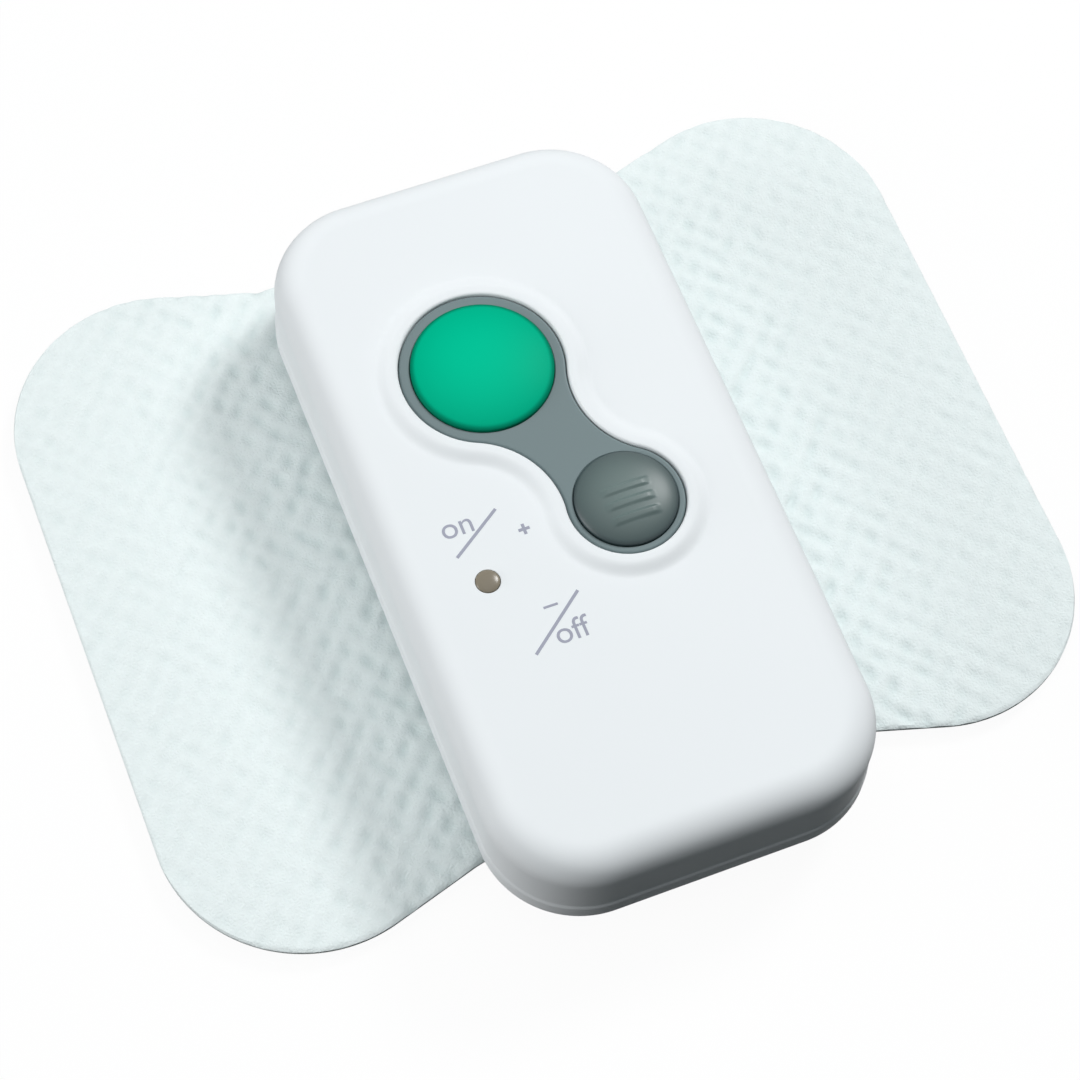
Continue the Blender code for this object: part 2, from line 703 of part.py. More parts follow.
def make_screws():
    """The case screws, up through the pillars of the tray into the bosses of the cover."""
    head_high = SCREW_SINK + SCREW_HEAD
    tip = head_high + SCREW_LENGTH
    chamfer = SCREW_HEAD_CHAMFER
    profile = [(0, tip), (SCREW_RADIUS - SCREW_TIP, tip), (SCREW_RADIUS, tip - SCREW_TIP)]
    profile += [(SCREW_RADIUS, head_high), (SCREW_HEAD_RADIUS, head_high)]
    profile += [(SCREW_HEAD_RADIUS, SCREW_SINK + chamfer), (SCREW_HEAD_RADIUS - chamfer, SCREW_SINK)]
    profile += [(0, SCREW_SINK)]
    blank = tool(turned(profile), None)
    for width, length in ((SCREW_CROSS, SCREW_SLOT), (SCREW_SLOT, SCREW_CROSS)):
        cut(blank, box((width, length, SCREW_HEAD), (0, 0, SCREW_SINK)))
    shape = welded(baked(blank))
    for x, y in corners:
        name = "case_screw_" + ("front" if y < 0 else "rear") + ("_left" if x < 0 else "_right")
        part(name, shape, nickel, case_frame, (x, y, 0))


def make_bezel():
    """The grey insert of the keypad, held by a flange under the roof."""
    bezel = part("keypad_bezel", slab(keypad_outline(), bezel_low, bezel_top), grey_plastic, case_frame)
    join(bezel, slab(keypad_outline(BEZEL_FLANGE_REACH), bezel_low, bezel_flange_high))
    for place, radius in ((GREEN_PLACE, GREEN_RADIUS), (GREY_PLACE, GREY_RADIUS)):
        hole = radius + BUTTON_CLEARANCE
        cut(bezel, pegs([place], hole, bezel_low - OVERRUN, bezel_top + OVERRUN, ROUND_STEPS))
    smooth(bezel)


def button_profile(radius, proud, crown):
    """A hollow cap with a stop flange under the bezel and a stem over its switch."""
    edge = bezel_top + proud
    inside = radius - BUTTON_WALL
    roof = bezel_top - BUTTON_WALL
    flange = radius + BUTTON_FLANGE_REACH
    profile = dome(radius, edge, crown, BUTTON_DOME_STEPS) + [(radius, edge), (radius, button_flange_high)]
    profile += [(flange, button_flange_high), (flange, button_low), (inside, button_low), (inside, roof)]
    return profile + [(BUTTON_STEM_RADIUS, roof), (BUTTON_STEM_RADIUS, button_low), (0, button_low)]


def make_buttons():
    """The green and the grey button, the grey one with ribs for the finger."""
    green_shape = turned(button_profile(GREEN_RADIUS, GREEN_PROUD, GREEN_CROWN), ROUND_STEPS)
    smooth(part("increase_button", green_shape, green_plastic, green_axis))
    grey_shape = turned(button_profile(GREY_RADIUS, GREY_PROUD, GREY_CROWN), ROUND_STEPS)
    grey = part("decrease_button", grey_shape, grey_gloss, grey_axis)
    for row in (-1, 0, 1):
        join(grey, rib_mesh(RIB_SHIFT + row * RIB_SPACING))
    smooth(grey)


def rib_mesh(y):
    """A finger rib of the grey button, which stands up from the dome by the same height all along."""
    low = bezel_top
    edge = bezel_top + GREY_PROUD + RIB_HEIGHT
    high = edge + GREY_CROWN + OVERRUN
    rib = tool(box((RIB_LENGTH, RIB_WIDTH, high - low), (0, y, (high + low) / 2)), grey_axis)
    cap = dome(GREY_RADIUS, edge, GREY_CROWN, BUTTON_DOME_STEPS)
    cap += [(GREY_RADIUS, edge), (GREY_RADIUS, low), (0, low)]
    combine(rib, "INTERSECT", turned(cap, ROUND_STEPS), (0, 0, 0))
    return baked(rib)


def make_switches():
    """Under each button a tact switch: a square body with a round plunger sunk in it."""
    plunger_low = plunger_high - PLUNGER_LENGTH
    edge = PLUNGER_EDGE
    plunger = [(0, plunger_high), (PLUNGER_RADIUS - edge, plunger_high), (PLUNGER_RADIUS, plunger_high - edge)]
    plunger += [(PLUNGER_RADIUS, plunger_low), (0, plunger_low)]
    well_low = plunger_low - BUTTON_TRAVEL - FIT
    for name, axis in (("increase", green_axis), ("decrease", grey_axis)):
        block = box((SWITCH_WIDTH, SWITCH_WIDTH, SWITCH_HEIGHT), (0, 0, part_low + SWITCH_HEIGHT / 2))
        body = part(name + "_switch", block, black_resin, axis)
        cut(body, pegs([(0, 0)], PLUNGER_RADIUS + FIT, well_low, switch_high + OVERRUN))
        smooth(part(name + "_plunger", turned(plunger), lamp_resin, axis))


def make_lamp():
    """The lamp on the board and the light pipe that carries it through the roof."""
    block = box((LED_WIDTH, LED_LENGTH, LED_HEIGHT), (0, 0, part_low + LED_HEIGHT / 2))
    part("led", block, lamp_resin, case_frame, (*lamp_place, 0))
    foot = part_low + LED_HEIGHT + FIT
    flange_high = roof_low - FIT
    flange = LENS_RADIUS + LENS_FLANGE_REACH
    profile = dome(LENS_RADIUS, case_top, LENS_PROUD, LENS_DOME_STEPS) + [(LENS_RADIUS, case_top)]
    profile += [(LENS_RADIUS, flange_high), (flange, flange_high), (flange, flange_high - LENS_FLANGE)]
    profile += [(LENS_RADIUS, flange_high - LENS_FLANGE), (LENS_RADIUS, foot), (0, foot)]
    smooth(part("led_lens", turned(profile), smoked_lens, case_frame, (*lamp_place, 0)))


def make_board():
    """The circuit board, notched round the screw bosses."""
    outline = case_outline(WALL + BOARD_MARGIN)
    board = part("circuit_board", slab(outline, board_low, board_high), green_board, case_frame)
    cut(board, pegs(corners, BOSS_RADIUS + FIT, board_low - OVERRUN, board_high + OVERRUN))


def make_board_parts():
    """What the board carries."""
    make_chip()
    make_crystal()
    make_coil()
    make_capacitor()
    make_transistors()


def make_chip():
    """The microcontroller: a flat block on two rows of legs."""
    block = box((CHIP_LENGTH, CHIP_WIDTH, CHIP_HEIGHT), (0, 0, part_low + CHIP_HEIGHT / 2))
    chip = part("microcontroller", block, black_resin, case_frame, (*CHIP_PLACE, 0))
    leg_size = (CHIP_LEG_WIDTH, CHIP_WIDTH + 2 * CHIP_LEG_REACH, CHIP_LEG_HEIGHT)
    legs = []
    for leg in range(CHIP_LEGS_A_SIDE):
        x = (leg - (CHIP_LEGS_A_SIDE - 1) / 2) * CHIP_LEG_PITCH
        legs.append((leg_size, (x, 0, part_low + BOND + CHIP_LEG_HEIGHT / 2)))
    join(chip, boxes(legs))


def make_crystal():
    """The quartz crystal in its oblong can."""
    outline = rounded_rectangle(CRYSTAL_LENGTH, CRYSTAL_WIDTH, CRYSTAL_WIDTH / 2)
    can = slab(outline, part_low, part_low + CRYSTAL_HEIGHT)
    part("quartz_crystal", can, can_aluminium, case_frame, (*CRYSTAL_PLACE, 0))


def make_coil():
    """The coil of the step-up supply: a ferrite bobbin and the winding round its waist."""
    top = part_low + COIL_HEIGHT
    core = [(0, top), (COIL_RADIUS, top), (COIL_RADIUS, top - COIL_FLANGE)]
    core += [(COIL_WAIST_RADIUS, top - COIL_FLANGE), (COIL_WAIST_RADIUS, part_low + COIL_FLANGE)]
    core += [(COIL_RADIUS, part_low + COIL_FLANGE), (COIL_RADIUS, part_low), (0, part_low)]
    smooth(part("coil_core", turned(core), ferrite, case_frame, (*COIL_PLACE, 0)))
    inner = COIL_WAIST_RADIUS + FIT
    outer = inner + WINDING_THICKNESS
    wind_high = top - COIL_FLANGE - FIT
    wind_low = part_low + COIL_FLANGE + FIT
    winding = [(inner, wind_high), (outer, wind_high), (outer, wind_low), (inner, wind_low)]
    smooth(part("coil_winding", turned(winding, closed=True), copper, case_frame, (*COIL_PLACE, 0)))


def make_capacitor():
    """The output capacitor: a can with a crimped groove near its foot."""
    lid = part_low + CAPACITOR_HEIGHT
    groove = part_low + CAPACITOR_GROOVE
    edge = CAPACITOR_RADIUS - CAPACITOR_CRIMP
    can = [(0, lid), (edge, lid), (CAPACITOR_RADIUS, lid - CAPACITOR_CRIMP)]
    can += [(CAPACITOR_RADIUS, groove + CAPACITOR_CRIMP), (edge, groove)]
    can += [(CAPACITOR_RADIUS, groove - CAPACITOR_CRIMP), (CAPACITOR_RADIUS, part_low), (0, part_low)]
    smooth(part("output_capacitor", turned(can), can_aluminium, case_frame, (*CAPACITOR_PLACE, 0)))


def make_transistors():
    """The two output transistors, one for each electrode."""
    size = (TRANSISTOR_WIDTH, TRANSISTOR_LENGTH, TRANSISTOR_HEIGHT)
    for side, sign in (("left", -1), ("right", 1)):
        place = (sign * TRANSISTOR_SPACING / 2, TRANSISTOR_Y, part_low + TRANSISTOR_HEIGHT / 2)
        part(side + "_output_transistor", box(size, (0, 0, 0)), black_resin, case_frame, place)


def make_cell():
    """The coin cell with its negative cap up, a leaf spring on the cap and a clip at its side."""
    rim = cell_high - CELL_CAP_STEP
    soft = CELL_CAP_STEP
    cell = [(0, cell_high), (CELL_CAP_RADIUS, cell_high), (CELL_CAP_RADIUS + soft, rim)]
    cell += [(CELL_RADIUS - soft, rim), (CELL_RADIUS, rim - soft), (CELL_RADIUS, cell_low + soft)]
    cell += [(CELL_RADIUS - soft, cell_low), (0, cell_low)]
    smooth(part("coin_cell", turned(cell, ROUND_STEPS), cell_steel, case_frame, (0, CELL_Y, 0)))

    half = CONTACT_THICKNESS / 2
    under_board = board_low - BOND - half
    leaf_tip = cell_high + BOND + half
    bend = CONTACT_FOOT - LEAF_LENGTH
    leaf = [(-LEAF_LENGTH, under_board), (bend, under_board), (-LEAF_CROOK, leaf_tip + half)]
    leaf += [(0, leaf_tip), (LEAF_CROOK, leaf_tip + half)]
    spring = ribbon(leaf, CONTACT_WIDTH, CONTACT_THICKNESS)
    part("negative_contact", spring, spring_steel, case_frame, (0, CELL_Y, 0))
    side_x = CELL_RADIUS + BOND + half
    clip_low = max(cell_low + CELL_THICKNESS / 2, door_lug_high + FIT)
    clip = [(side_x, clip_low), (side_x, under_board), (side_x + CONTACT_FOOT, under_board)]
    side_clip = ribbon(clip, CONTACT_WIDTH, CONTACT_THICKNESS)
    part("positive_contact", side_clip, spring_steel, case_frame, (0, CELL_Y, 0))


def make_door():
    """The battery door: a round lid with a coin slot, whose lugs turn over the edge of the floor."""
    lid_high = DOOR_SINK + DOOR_THICKNESS
    lid = [(0, lid_high), (door_ring_inside, lid_high), (door_ring_inside, door_lug_high)]
    lid += [(door_radius, door_lug_high), (door_radius, DOOR_SINK), (0, DOOR_SINK)]
    door = part("battery_door", turned(lid, ROUND_STEPS), white_plastic, door_axis)
    lug_root = door_radius - DOOR_RING_WALL / 2
    for lug in range(DOOR_LUGS):
        middle = 90 + 360 * lug / DOOR_LUGS
        outline = sector_outline(lug_root, door_hole + DOOR_LUG_REACH - FIT, middle, DOOR_LUG_ANGLE_DEG)
        join(door, slab(outline, door_lug_low, door_lug_high - DOOR_LUG_STEP))
    slot = rounded_rectangle(DOOR_SLOT_LENGTH, DOOR_SLOT_WIDTH, DOOR_SLOT_WIDTH / 2)
    cut(door, slab(slot, DOOR_SINK - OVERRUN, DOOR_SINK + DOOR_SLOT_DEPTH))
    smooth(door)


def make_sockets():
    """The snap sockets in the tray, each with a spring up to the circuit board."""
    mouth = stud_recess + SNAP_CLEARANCE
    flange_low = FLOOR + BOND
    flange = socket_radius + SOCKET_FLANGE_REACH
    socket = [(0, socket_high), (socket_radius, socket_high), (socket_radius, flange_low + SOCKET_FLANGE)]
    socket += [(flange, flange_low + SOCKET_FLANGE), (flange, flange_low), (socket_radius, flange_low)]
    socket += [(socket_radius, mouth), (socket_bore, mouth)]
    socket += [(socket_bore, socket_ceiling), (0, socket_ceiling)]
    for side, x in snap_places:
        smooth(part(side + "_snap_socket", turned(socket), nickel, case_frame, (x, PAD_OFFSET, 0)))
        coil = part(side + "_terminal_spring", spring_mesh(), spring_steel, case_frame, (x, PAD_OFFSET, 0))
        smooth(coil)


def spring_points():
    """Points along the terminal spring: a helix from the socket's roof to the board."""
    low = socket_high + FIT + SPRING_WIRE / 2
    high = board_low - FIT - SPRING_WIRE / 2
    steps = SPRING_POINTS_A_TURN * SPRING_TURNS
    points = []
    for step in range(steps + 1):
        angle = 2 * math.pi * step / SPRING_POINTS_A_TURN
        height = low + (high - low) * step / steps
        points.append(Vector((SPRING_RADIUS * math.cos(angle), SPRING_RADIUS * math.sin(angle), height)))
    return points


def spring_gap(points):
    """Least distance between the wire of neighbouring turns, on points most of a turn or more apart."""
    apart = 3 * SPRING_POINTS_A_TURN // 4
    pairs = [(a, b) for index, a in enumerate(points) for b in points[index + apart:]]
    return min((a - b).length for a, b in pairs) - SPRING_WIRE


def spring_mesh():
    """The terminal spring as one closed tube."""
    curve = bpy.data.curves.new("spring", "CURVE")
    curve.dimensions = "3D"
    curve.bevel_depth = SPRING_WIRE / 2
    curve.bevel_resolution = 1
    curve.use_fill_caps = True
    spline = curve.splines.new("POLY")
    points = spring_points()
    spline.points.add(len(points) - 1)
    for target, place in zip(spline.points, points):
        target.co = (*place, 1)
    holder = bpy.data.objects.new("spring", curve)
    cutter_collection.objects.link(holder)
    return welded(baked(holder))


make_pad()
make_studs()
make_top_cover()
make_bottom_cover()
make_screws()
make_bezel()
make_buttons()
make_switches()
make_lamp()
make_board()
make_board_parts()
make_cell()
make_door()
make_sockets()
print("terminal spring, least gap between turns, mm:", round(1000 * spring_gap(spring_points()), 3))
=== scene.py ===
"""Looks of a clip-on TENS unit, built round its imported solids.

Metres, +Z up, in the frame of the solids. The covers, keypad, buttons, studs and the layers of the pad are
fine surfaces that stand for the plain solids. What is closed up inside keeps its solid and gets a finish.
"""

import math

import bpy
import numpy as np
from mathutils import Matrix, Vector


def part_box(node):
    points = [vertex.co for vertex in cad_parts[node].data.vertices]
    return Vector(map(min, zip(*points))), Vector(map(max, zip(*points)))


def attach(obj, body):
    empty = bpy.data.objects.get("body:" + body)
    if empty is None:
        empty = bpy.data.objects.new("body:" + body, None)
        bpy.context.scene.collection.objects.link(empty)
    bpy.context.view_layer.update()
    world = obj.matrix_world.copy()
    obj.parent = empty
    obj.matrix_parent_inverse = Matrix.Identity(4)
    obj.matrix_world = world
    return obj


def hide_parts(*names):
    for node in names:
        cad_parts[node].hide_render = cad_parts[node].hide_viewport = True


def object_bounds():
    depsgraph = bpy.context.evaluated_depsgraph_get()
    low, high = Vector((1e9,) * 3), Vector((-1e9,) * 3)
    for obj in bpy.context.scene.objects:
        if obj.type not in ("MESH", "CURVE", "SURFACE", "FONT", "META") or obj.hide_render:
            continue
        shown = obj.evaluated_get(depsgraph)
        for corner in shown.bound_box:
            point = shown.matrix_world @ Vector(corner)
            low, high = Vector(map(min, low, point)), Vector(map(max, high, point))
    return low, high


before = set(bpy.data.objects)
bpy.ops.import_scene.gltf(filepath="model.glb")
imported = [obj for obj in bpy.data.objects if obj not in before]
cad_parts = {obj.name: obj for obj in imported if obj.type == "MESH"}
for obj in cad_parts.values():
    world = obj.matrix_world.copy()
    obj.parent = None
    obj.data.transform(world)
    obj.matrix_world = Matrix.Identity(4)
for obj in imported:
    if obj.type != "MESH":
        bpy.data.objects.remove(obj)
solid_low, solid_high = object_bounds()
scene = bpy.context.scene

# Camera of the photograph
CAMERA_TARGET = Vector((-0.002832, -0.003120, 0.0082))
CAMERA_TURN = math.radians(-25.612)
CAMERA_RISE = math.radians(63.830)
CAMERA_ROLL = math.radians(4.788)
CAMERA_DISTANCE = 0.282839
CAMERA_LENS = 98.97
CAMERA_SENSOR = 36
CAMERA_NEAR = 0.01

# Electrode pad
PAD_CORNER = 0.0145
PAD_WAIST_NOTCH = 0.0035
PAD_WAIST_ROUND = 0.010
PAD_FLARE = math.radians(16.5)
GEL_MARGIN = 0.001
GEL_GAP = 0.012
GEL_CORNER = 0.0015
GEL_LOW_ROUND = 0.0003
GEL_HIGH_ROUND = 0.0002
GEL_POCKET = 0.0035
FILM_MARGIN = 0.004
FABRIC_STEP = 0.0003
FABRIC_ROWS = 240
FABRIC_EDGE = 0.00035
FABRIC_EDGE_DROP = 0.00018
EMBOSS_PITCH_X = 0.00307
EMBOSS_PITCH_Y = 0.0033
EMBOSS_DEPTH = 0.00027
EMBOSS_FADE = (0.023, 0.035)
EMBOSS_FAINTEST = 0.36
EMBOSS_WIDTH = 0.00064
EMBOSS_LENGTH = 0.00088
EMBOSS_STRAY = 0.00028
EMBOSS_SLANT = 0.5
EMBOSS_UNEVEN = 0.5
EMBOSS_SEED = 11

# Controller case
CASE_CORNER = 0.0096
CASE_TOP_ROUND = 0.0033
CASE_BOTTOM_ROUND = 0.0037
WALL = 0.0018
ROOF = 0.0016
FLOOR = 0.0014
PARTING_GAP = 0.0002
PARTING_ROUND = 0.0002
TRAY_EDGE = 0.00012
TRAY_INSET = 0.00025
RIM_PROUD = 0.00015
RIM_HEIGHT = 0.0018
RIM_STEP = 0.0007
LIP_INSET = 0.0011
LIP_RISE = 0.0012
COLLAR_HEIGHT = 0.0006
COLLAR_RIM = 0.00095
COLLAR_SLOPE = 0.0016
COLLAR_EDGE = 0.0003
OPENING_GAP = 0.00018
BOSS_RADIUS = 0.0024
BOSS_LOW = 0.0035
PILLAR_RADIUS = 0.0029
PILLAR_LOW = 0.0011
PILLAR_HEIGHT = 0.0032
POST_RADIUS = 0.0013
POST_PLACES = [(side * 0.0141, y) for side in (-1, 1) for y in (-0.0065, 0.016)]

# Keypad
GREEN_RADIUS = 0.00685
GREEN_RING = 0.001
GREEN_PROUD = 0.00025
GREEN_FULLNESS = 0.75
# Share of each cap's painted shade that grows from the middle out; the rest darkens its rim
GREEN_PAINTED_SHADE = 0.35
GREY_RADIUS = 0.0049
GREY_RING = 0.0006
GREY_PROUD = 0.0002
GREY_CROWN = 0.0012
GREY_FULLNESS = 0.6
GREY_PAINTED_SHADE = 0.8
BRIDGE_ROUND = 0.0092
BEZEL_FLANGE = 0.0009
BEZEL_FLANGE_REACH = 0.0012
BEZEL_EDGE = 0.00025
BEZEL_LET_OUT = 0.0001
HOLE_EDGE = 0.00008
BUTTON_GAP = 0.00006
BUTTON_FLANGE = 0.0006
BUTTON_FLANGE_REACH = 0.0007
BUTTON_WALL = 0.0012
BUTTON_STEM = 0.0018
# Painted shade on the button caps: their colour darkens from the middle out, and most at the rim
SHADED_RIM_START = 0.955
SHADED_RIM_SOFT = 0.035
RIB_LENGTH = 0.0043
RIB_WIDTH = 0.0007
RIB_HEIGHT = 0.00018
RIB_SPACING = 0.0015
RIB_SOFT = 0.00017
RIB_END = 0.0005
RIB_SHIFT = -0.0009

# Lamp and its light pipe
LENS_RADIUS = 0.00115
LENS_GAP = 0.00005
LENS_FLANGE = 0.0006
LENS_FLANGE_REACH = 0.0008

# Press studs of the pad, their eyelets, and the sockets of the controller
STUD_HEAD = 0.00195
STUD_HEAD_ROUND = 0.0007
STUD_NECK = 0.00155
STUD_NECK_FILLET = 0.0002
STUD_BORE = 0.00115
STUD_FOOT = 0.004
STUD_WALL = 0.0004
EYELET_HEAD = 0.0032
EYELET_WALL = 0.00025
EYELET_SHANK = 0.0008
SOCKET_RADIUS = 0.0029
SOCKET_BORE = 0.0021
SOCKET_WALL = 0.0004
SOCKET_REACH = 0.0017
SOCKET_SEATING = 0.0001
FINE_EDGE = 0.0001

# Underside of the controller
DOOR_SHIFT = (0, -0.019)
DOOR_RADIUS = 0.0113
DOOR_GAP = 0.0003
DOOR_INSIDE = 0.01045
DOOR_THICKNESS = 0.0011
DOOR_EDGE = 0.00025
DOOR_LUGS = 3
DOOR_LUG_REACH = 0.0012
DOOR_LUG_LOW = 0.0017
DOOR_LUG_HIGH = 0.00248
DOOR_LUG_STEP = 0.00002
DOOR_LUG_ANGLE = math.radians(24)
DOOR_TURN = math.radians(40)
SLOT_LENGTH = 0.014
SLOT_WIDTH = 0.002
SLOT_CORNER = 0.00099
SLOT_DEPTH = 0.0006
SEAT_RADIUS = 0.0043
SEAT_DEPTH = 0.0007
SCREW_HEAD = 0.0011
SCREW_HEAD_RADIUS = 0.0019
SCREW_HEAD_ROUND = 0.0005
SCREW_RADIUS = 0.00095
SCREW_TIP = 0.0004
SCREW_CROSS = 0.0025
SCREW_SLOT = 0.0005
CLEAR = 0.0003

# Marks printed on the roof
INK_RISE = 0.00002
INK_STROKE = 0.0003
LETTER_SIZE = 0.0031

# Fineness of the surfaces
ROUND_COUNT = 640
TURN_COUNT = 128
SMALL_COUNT = 64
WAVE_COUNT = 15
SECTOR_COUNT = 24
BEARING_COUNT = 30001
AXIS = 0.0001
DOME_TIP = 0.004
SUPPORT = 0.00015
SHARP = math.radians(35)
OVERRUN = 0.001

# Finishes
FABRIC_COLOUR = (0.81, 0.872, 0.867, 1)
# Painted shade: the darker colour of the embossed pits
PIT_SHADE_COLOUR = (0.725, 0.803, 0.797, 1)
GEL_COLOURS = ((0.80, 0.87, 0.88, 1), (0.88, 0.92, 0.92, 1))
GRAIN_DEPTH = 0.00001
FELT_DEPTH = 0.00008
DIMPLE_DEPTH = 0.00003

# Studio
KEY_PLACE = Vector((0.37, 0.19, 0.44))
KEY_POWER = 2.1
KEY_WIDTH = 0.18
FILL_PLACE = Vector((-0.56, 0.05, 0.16))
FILL_POWER = 1.75
FILL_WIDTH = 0.40
SKY_DARK = (0.006, 0.012, 0.014, 1)
SKY_LIGHT = (1.80, 1.87, 1.90, 1)
SKY_FROM = (0.0, 0.09, 0.996)
SKY_EDGE = (0.78, 0.95)
WHITE = (1, 1, 1, 1)
TABLE_SPAN = 3.0
TABLE_DROP = 0.00005
TABLE_LIT = (0.018, 0.024, 0.026, 1)
TABLE_SEEN = (0.92, 0.92, 0.92, 1)
TABLE_GLOW = 0.95


def middle(node):
    """Plan place of a node: the middle of its box."""
    low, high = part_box(node)
    return np.array([(low.x + high.x) / 2, (low.y + high.y) / 2])


def heights(node):
    """Lowest and highest level of a node."""
    low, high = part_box(node)
    return low.z, high.z


tray_low, tray_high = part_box("bottom_cover")
fabric_low, fabric_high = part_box("pad_fabric")
cover_low, collar_top = heights("top_cover")
bezel_low, bezel_top = heights("keypad_bezel")

base = tray_low.z
parting = cover_low - PARTING_GAP
case_top = collar_top - COLLAR_HEIGHT
roof_low = case_top - ROOF
case_middle = middle("bottom_cover")
case_width = tray_high.x - tray_low.x
case_length = tray_high.y - tray_low.y
pad_middle = middle("pad_fabric")
pad_width = fabric_high.x - fabric_low.x
pad_length = fabric_high.y - fabric_low.y
green_place = middle("increase_button")
grey_place = middle("decrease_button")
lens_place = middle("led_lens")
door_place = case_middle + DOOR_SHIFT
screw_names = [f"case_screw_{end}_{side}" for end in ("front", "rear") for side in ("left", "right")]
screw_places = [middle(name) for name in screw_names]
snap_places = [middle(side + "_snap_stud") for side in ("left", "right")]


def walk(spans, shares):
    """A plan line: its points and outward directions at given shares of its length.

    A span is (first centre, last centre, radius, first heading, last heading). Along it the centre slides and
    the heading turns in even steps, and the point lies at the radius from the centre, along the heading. A
    hollow curve has a negative radius.
    """
    first, last, radius, start, end = (np.array(column, float) for column in zip(*spans))
    lengths = np.hypot(*(last - first).T) + np.abs(radius * (end - start))
    stops = np.concatenate([[0.0], np.cumsum(lengths)])
    place = np.asarray(shares) * stops[-1]
    index = np.clip(np.searchsorted(stops, place, side="right") - 1, 0, len(lengths) - 1)
    share = (place - stops[index]) / lengths[index]
    heading = start[index] + (end - start)[index] * share
    outward = np.column_stack([np.cos(heading), np.sin(heading)])
    centre = first[index] + (last - first)[index] * share[:, None]
    return centre + radius[index, None] * outward, outward


def even(count):
    """Shares at even steps round a closed line."""
    return np.arange(count) / count


def oblong_spans(centre, width, length, corner):
    """Spans of a rounded rectangle, from the middle of its right-hand side."""
    a = width / 2 - corner
    b = length / 2 - corner
    stops = [(a, 0), (a, b), (a, b), (-a, b), (-a, b), (-a, -b), (-a, -b), (a, -b), (a, -b), (a, 0)]
    stops = [(centre[0] + x, centre[1] + y) for x, y in stops]
    headings = [math.pi / 2 * quarter for quarter in (0, 0, 1, 1, 2, 2, 3, 3, 4, 4)]
    return [(p, q, corner, h, k) for p, q, h, k in zip(stops, stops[1:], headings, headings[1:])]


def keypad_spans():
    """Spans of the keypad's plan: a large and a small circle joined by two hollow curves."""
    big = Vector(green_place)
    small = Vector(grey_place)
    big_radius = GREEN_RADIUS + GREEN_RING
    small_radius = GREY_RADIUS + GREY_RING
    span = (small - big).length
    forward = (small - big) / span
    aside = Vector((-forward.y, forward.x))
    to_big = big_radius + BRIDGE_ROUND
    to_small = small_radius + BRIDGE_ROUND
    along = (span**2 + to_big**2 - to_small**2) / (2 * span)
    away = math.sqrt(to_big**2 - along**2)
    heading = math.atan2(forward.y, forward.x)
    open_big = math.atan2(away, along)
    open_small = math.atan2(away, span - along)
    right = big + forward * along - aside * away
    left = big + forward * along + aside * away
    turns = [open_big, 2 * math.pi - open_big, math.pi + open_small, 3 * math.pi - open_small]
    turns = [heading + turn for turn in turns + [2 * math.pi + open_big]]
    return [
        (big, big, big_radius, turns[0], turns[1]),
        (right, right, -BRIDGE_ROUND, turns[1], turns[2]),
        (small, small, small_radius, turns[2], turns[3]),
        (left, left, -BRIDGE_ROUND, turns[3], turns[4]),
    ]


def pad_edge_spans(margin, reach):
    """Spans of a quarter of the pad's edge, drawn in by a margin: side, corner, flare, hollow waist.

    They run from the middle of the right-hand side to the waist at the distance reach from the middle line.
    """
    corner = np.array([pad_width / 2 - PAD_CORNER, pad_length / 2 - PAD_CORNER])
    radius = PAD_CORNER - margin
    hollow = PAD_WAIST_ROUND + margin
    waist = pad_length / 2 - PAD_WAIST_NOTCH
    narrow = math.tan(PAD_FLARE / 2)
    bend_x = corner[0] - (PAD_CORNER + PAD_WAIST_ROUND) * narrow - PAD_WAIST_NOTCH / math.tan(PAD_FLARE)
    bend = np.array([bend_x, waist + PAD_WAIST_ROUND])
    slant = math.pi / 2 + PAD_FLARE
    out = np.array([math.cos(slant), math.sin(slant)])
    run = bend - hollow * out - (corner + radius * out)
    return [
        ((corner[0], 0), corner, radius, 0, 0),
        (corner, corner, radius, 0, slant),
        (corner, corner + run, radius, slant, slant),
        (bend, bend, -hollow, slant, math.pi / 2),
        (bend, (reach, bend[1]), -hollow, math.pi / 2, math.pi / 2),
    ]


def wing_path(side, margin):
    """Plan of what lies under one wing: the pad's edge less a margin, closed by a straight inner edge."""
    inner = GEL_GAP / 2 + GEL_CORNER
    upper = pad_edge_spans(margin, inner)
    shoulder = (inner, pad_length / 2 - PAD_WAIST_NOTCH - margin - GEL_CORNER)
    upper.append((shoulder, shoulder, GEL_CORNER, math.pi / 2, math.pi))
    upper.append((shoulder, (inner, 0), GEL_CORNER, math.pi, math.pi))
    lower = [
        ((last[0], -last[1]), (first[0], -first[1]), radius, 2 * math.pi - end, 2 * math.pi - start)
        for first, last, radius, start, end in reversed(upper)
    ]
    points, outward = walk(upper + lower, even(ROUND_COUNT))
    if side < 0:
        points = points[::-1] * (-1, 1)
        outward = outward[::-1] * (-1, 1)
    return points + pad_middle, outward


def circle(centre, count=TURN_COUNT):
    """A path with no reach of its own: a profile carried along it is turned about its centre."""
    angle = 2 * math.pi * even(count)
    return np.tile(np.asarray(centre, float), (count, 1)), np.column_stack([np.cos(angle), np.sin(angle)])


def bend(offset, height, radius, start, end, steps):
    """Part of a profile: an arc about (offset, height) from one angle in degrees to another."""
    angle = np.radians(np.linspace(start, end, steps + 1))
    return list(zip(offset + radius * np.cos(angle), height + radius * np.sin(angle)))


def dome(radius, edge, crown, steps, fullness=0.5):
    """Part of a profile, from its edge up to its crown: a curve between an ellipse and a parabola.

    The height is what one less the square of the share of the radius is, to the power of the fullness: at a
    half that is an ellipse, and at one a parabola.
    """
    angle = np.linspace(0, math.pi / 2, steps + 1)[:-1]
    tip = [(radius * DOME_TIP, edge + crown)]
    return list(zip(radius * np.cos(angle), edge + crown * np.sin(angle) ** (2 * fullness))) + tip


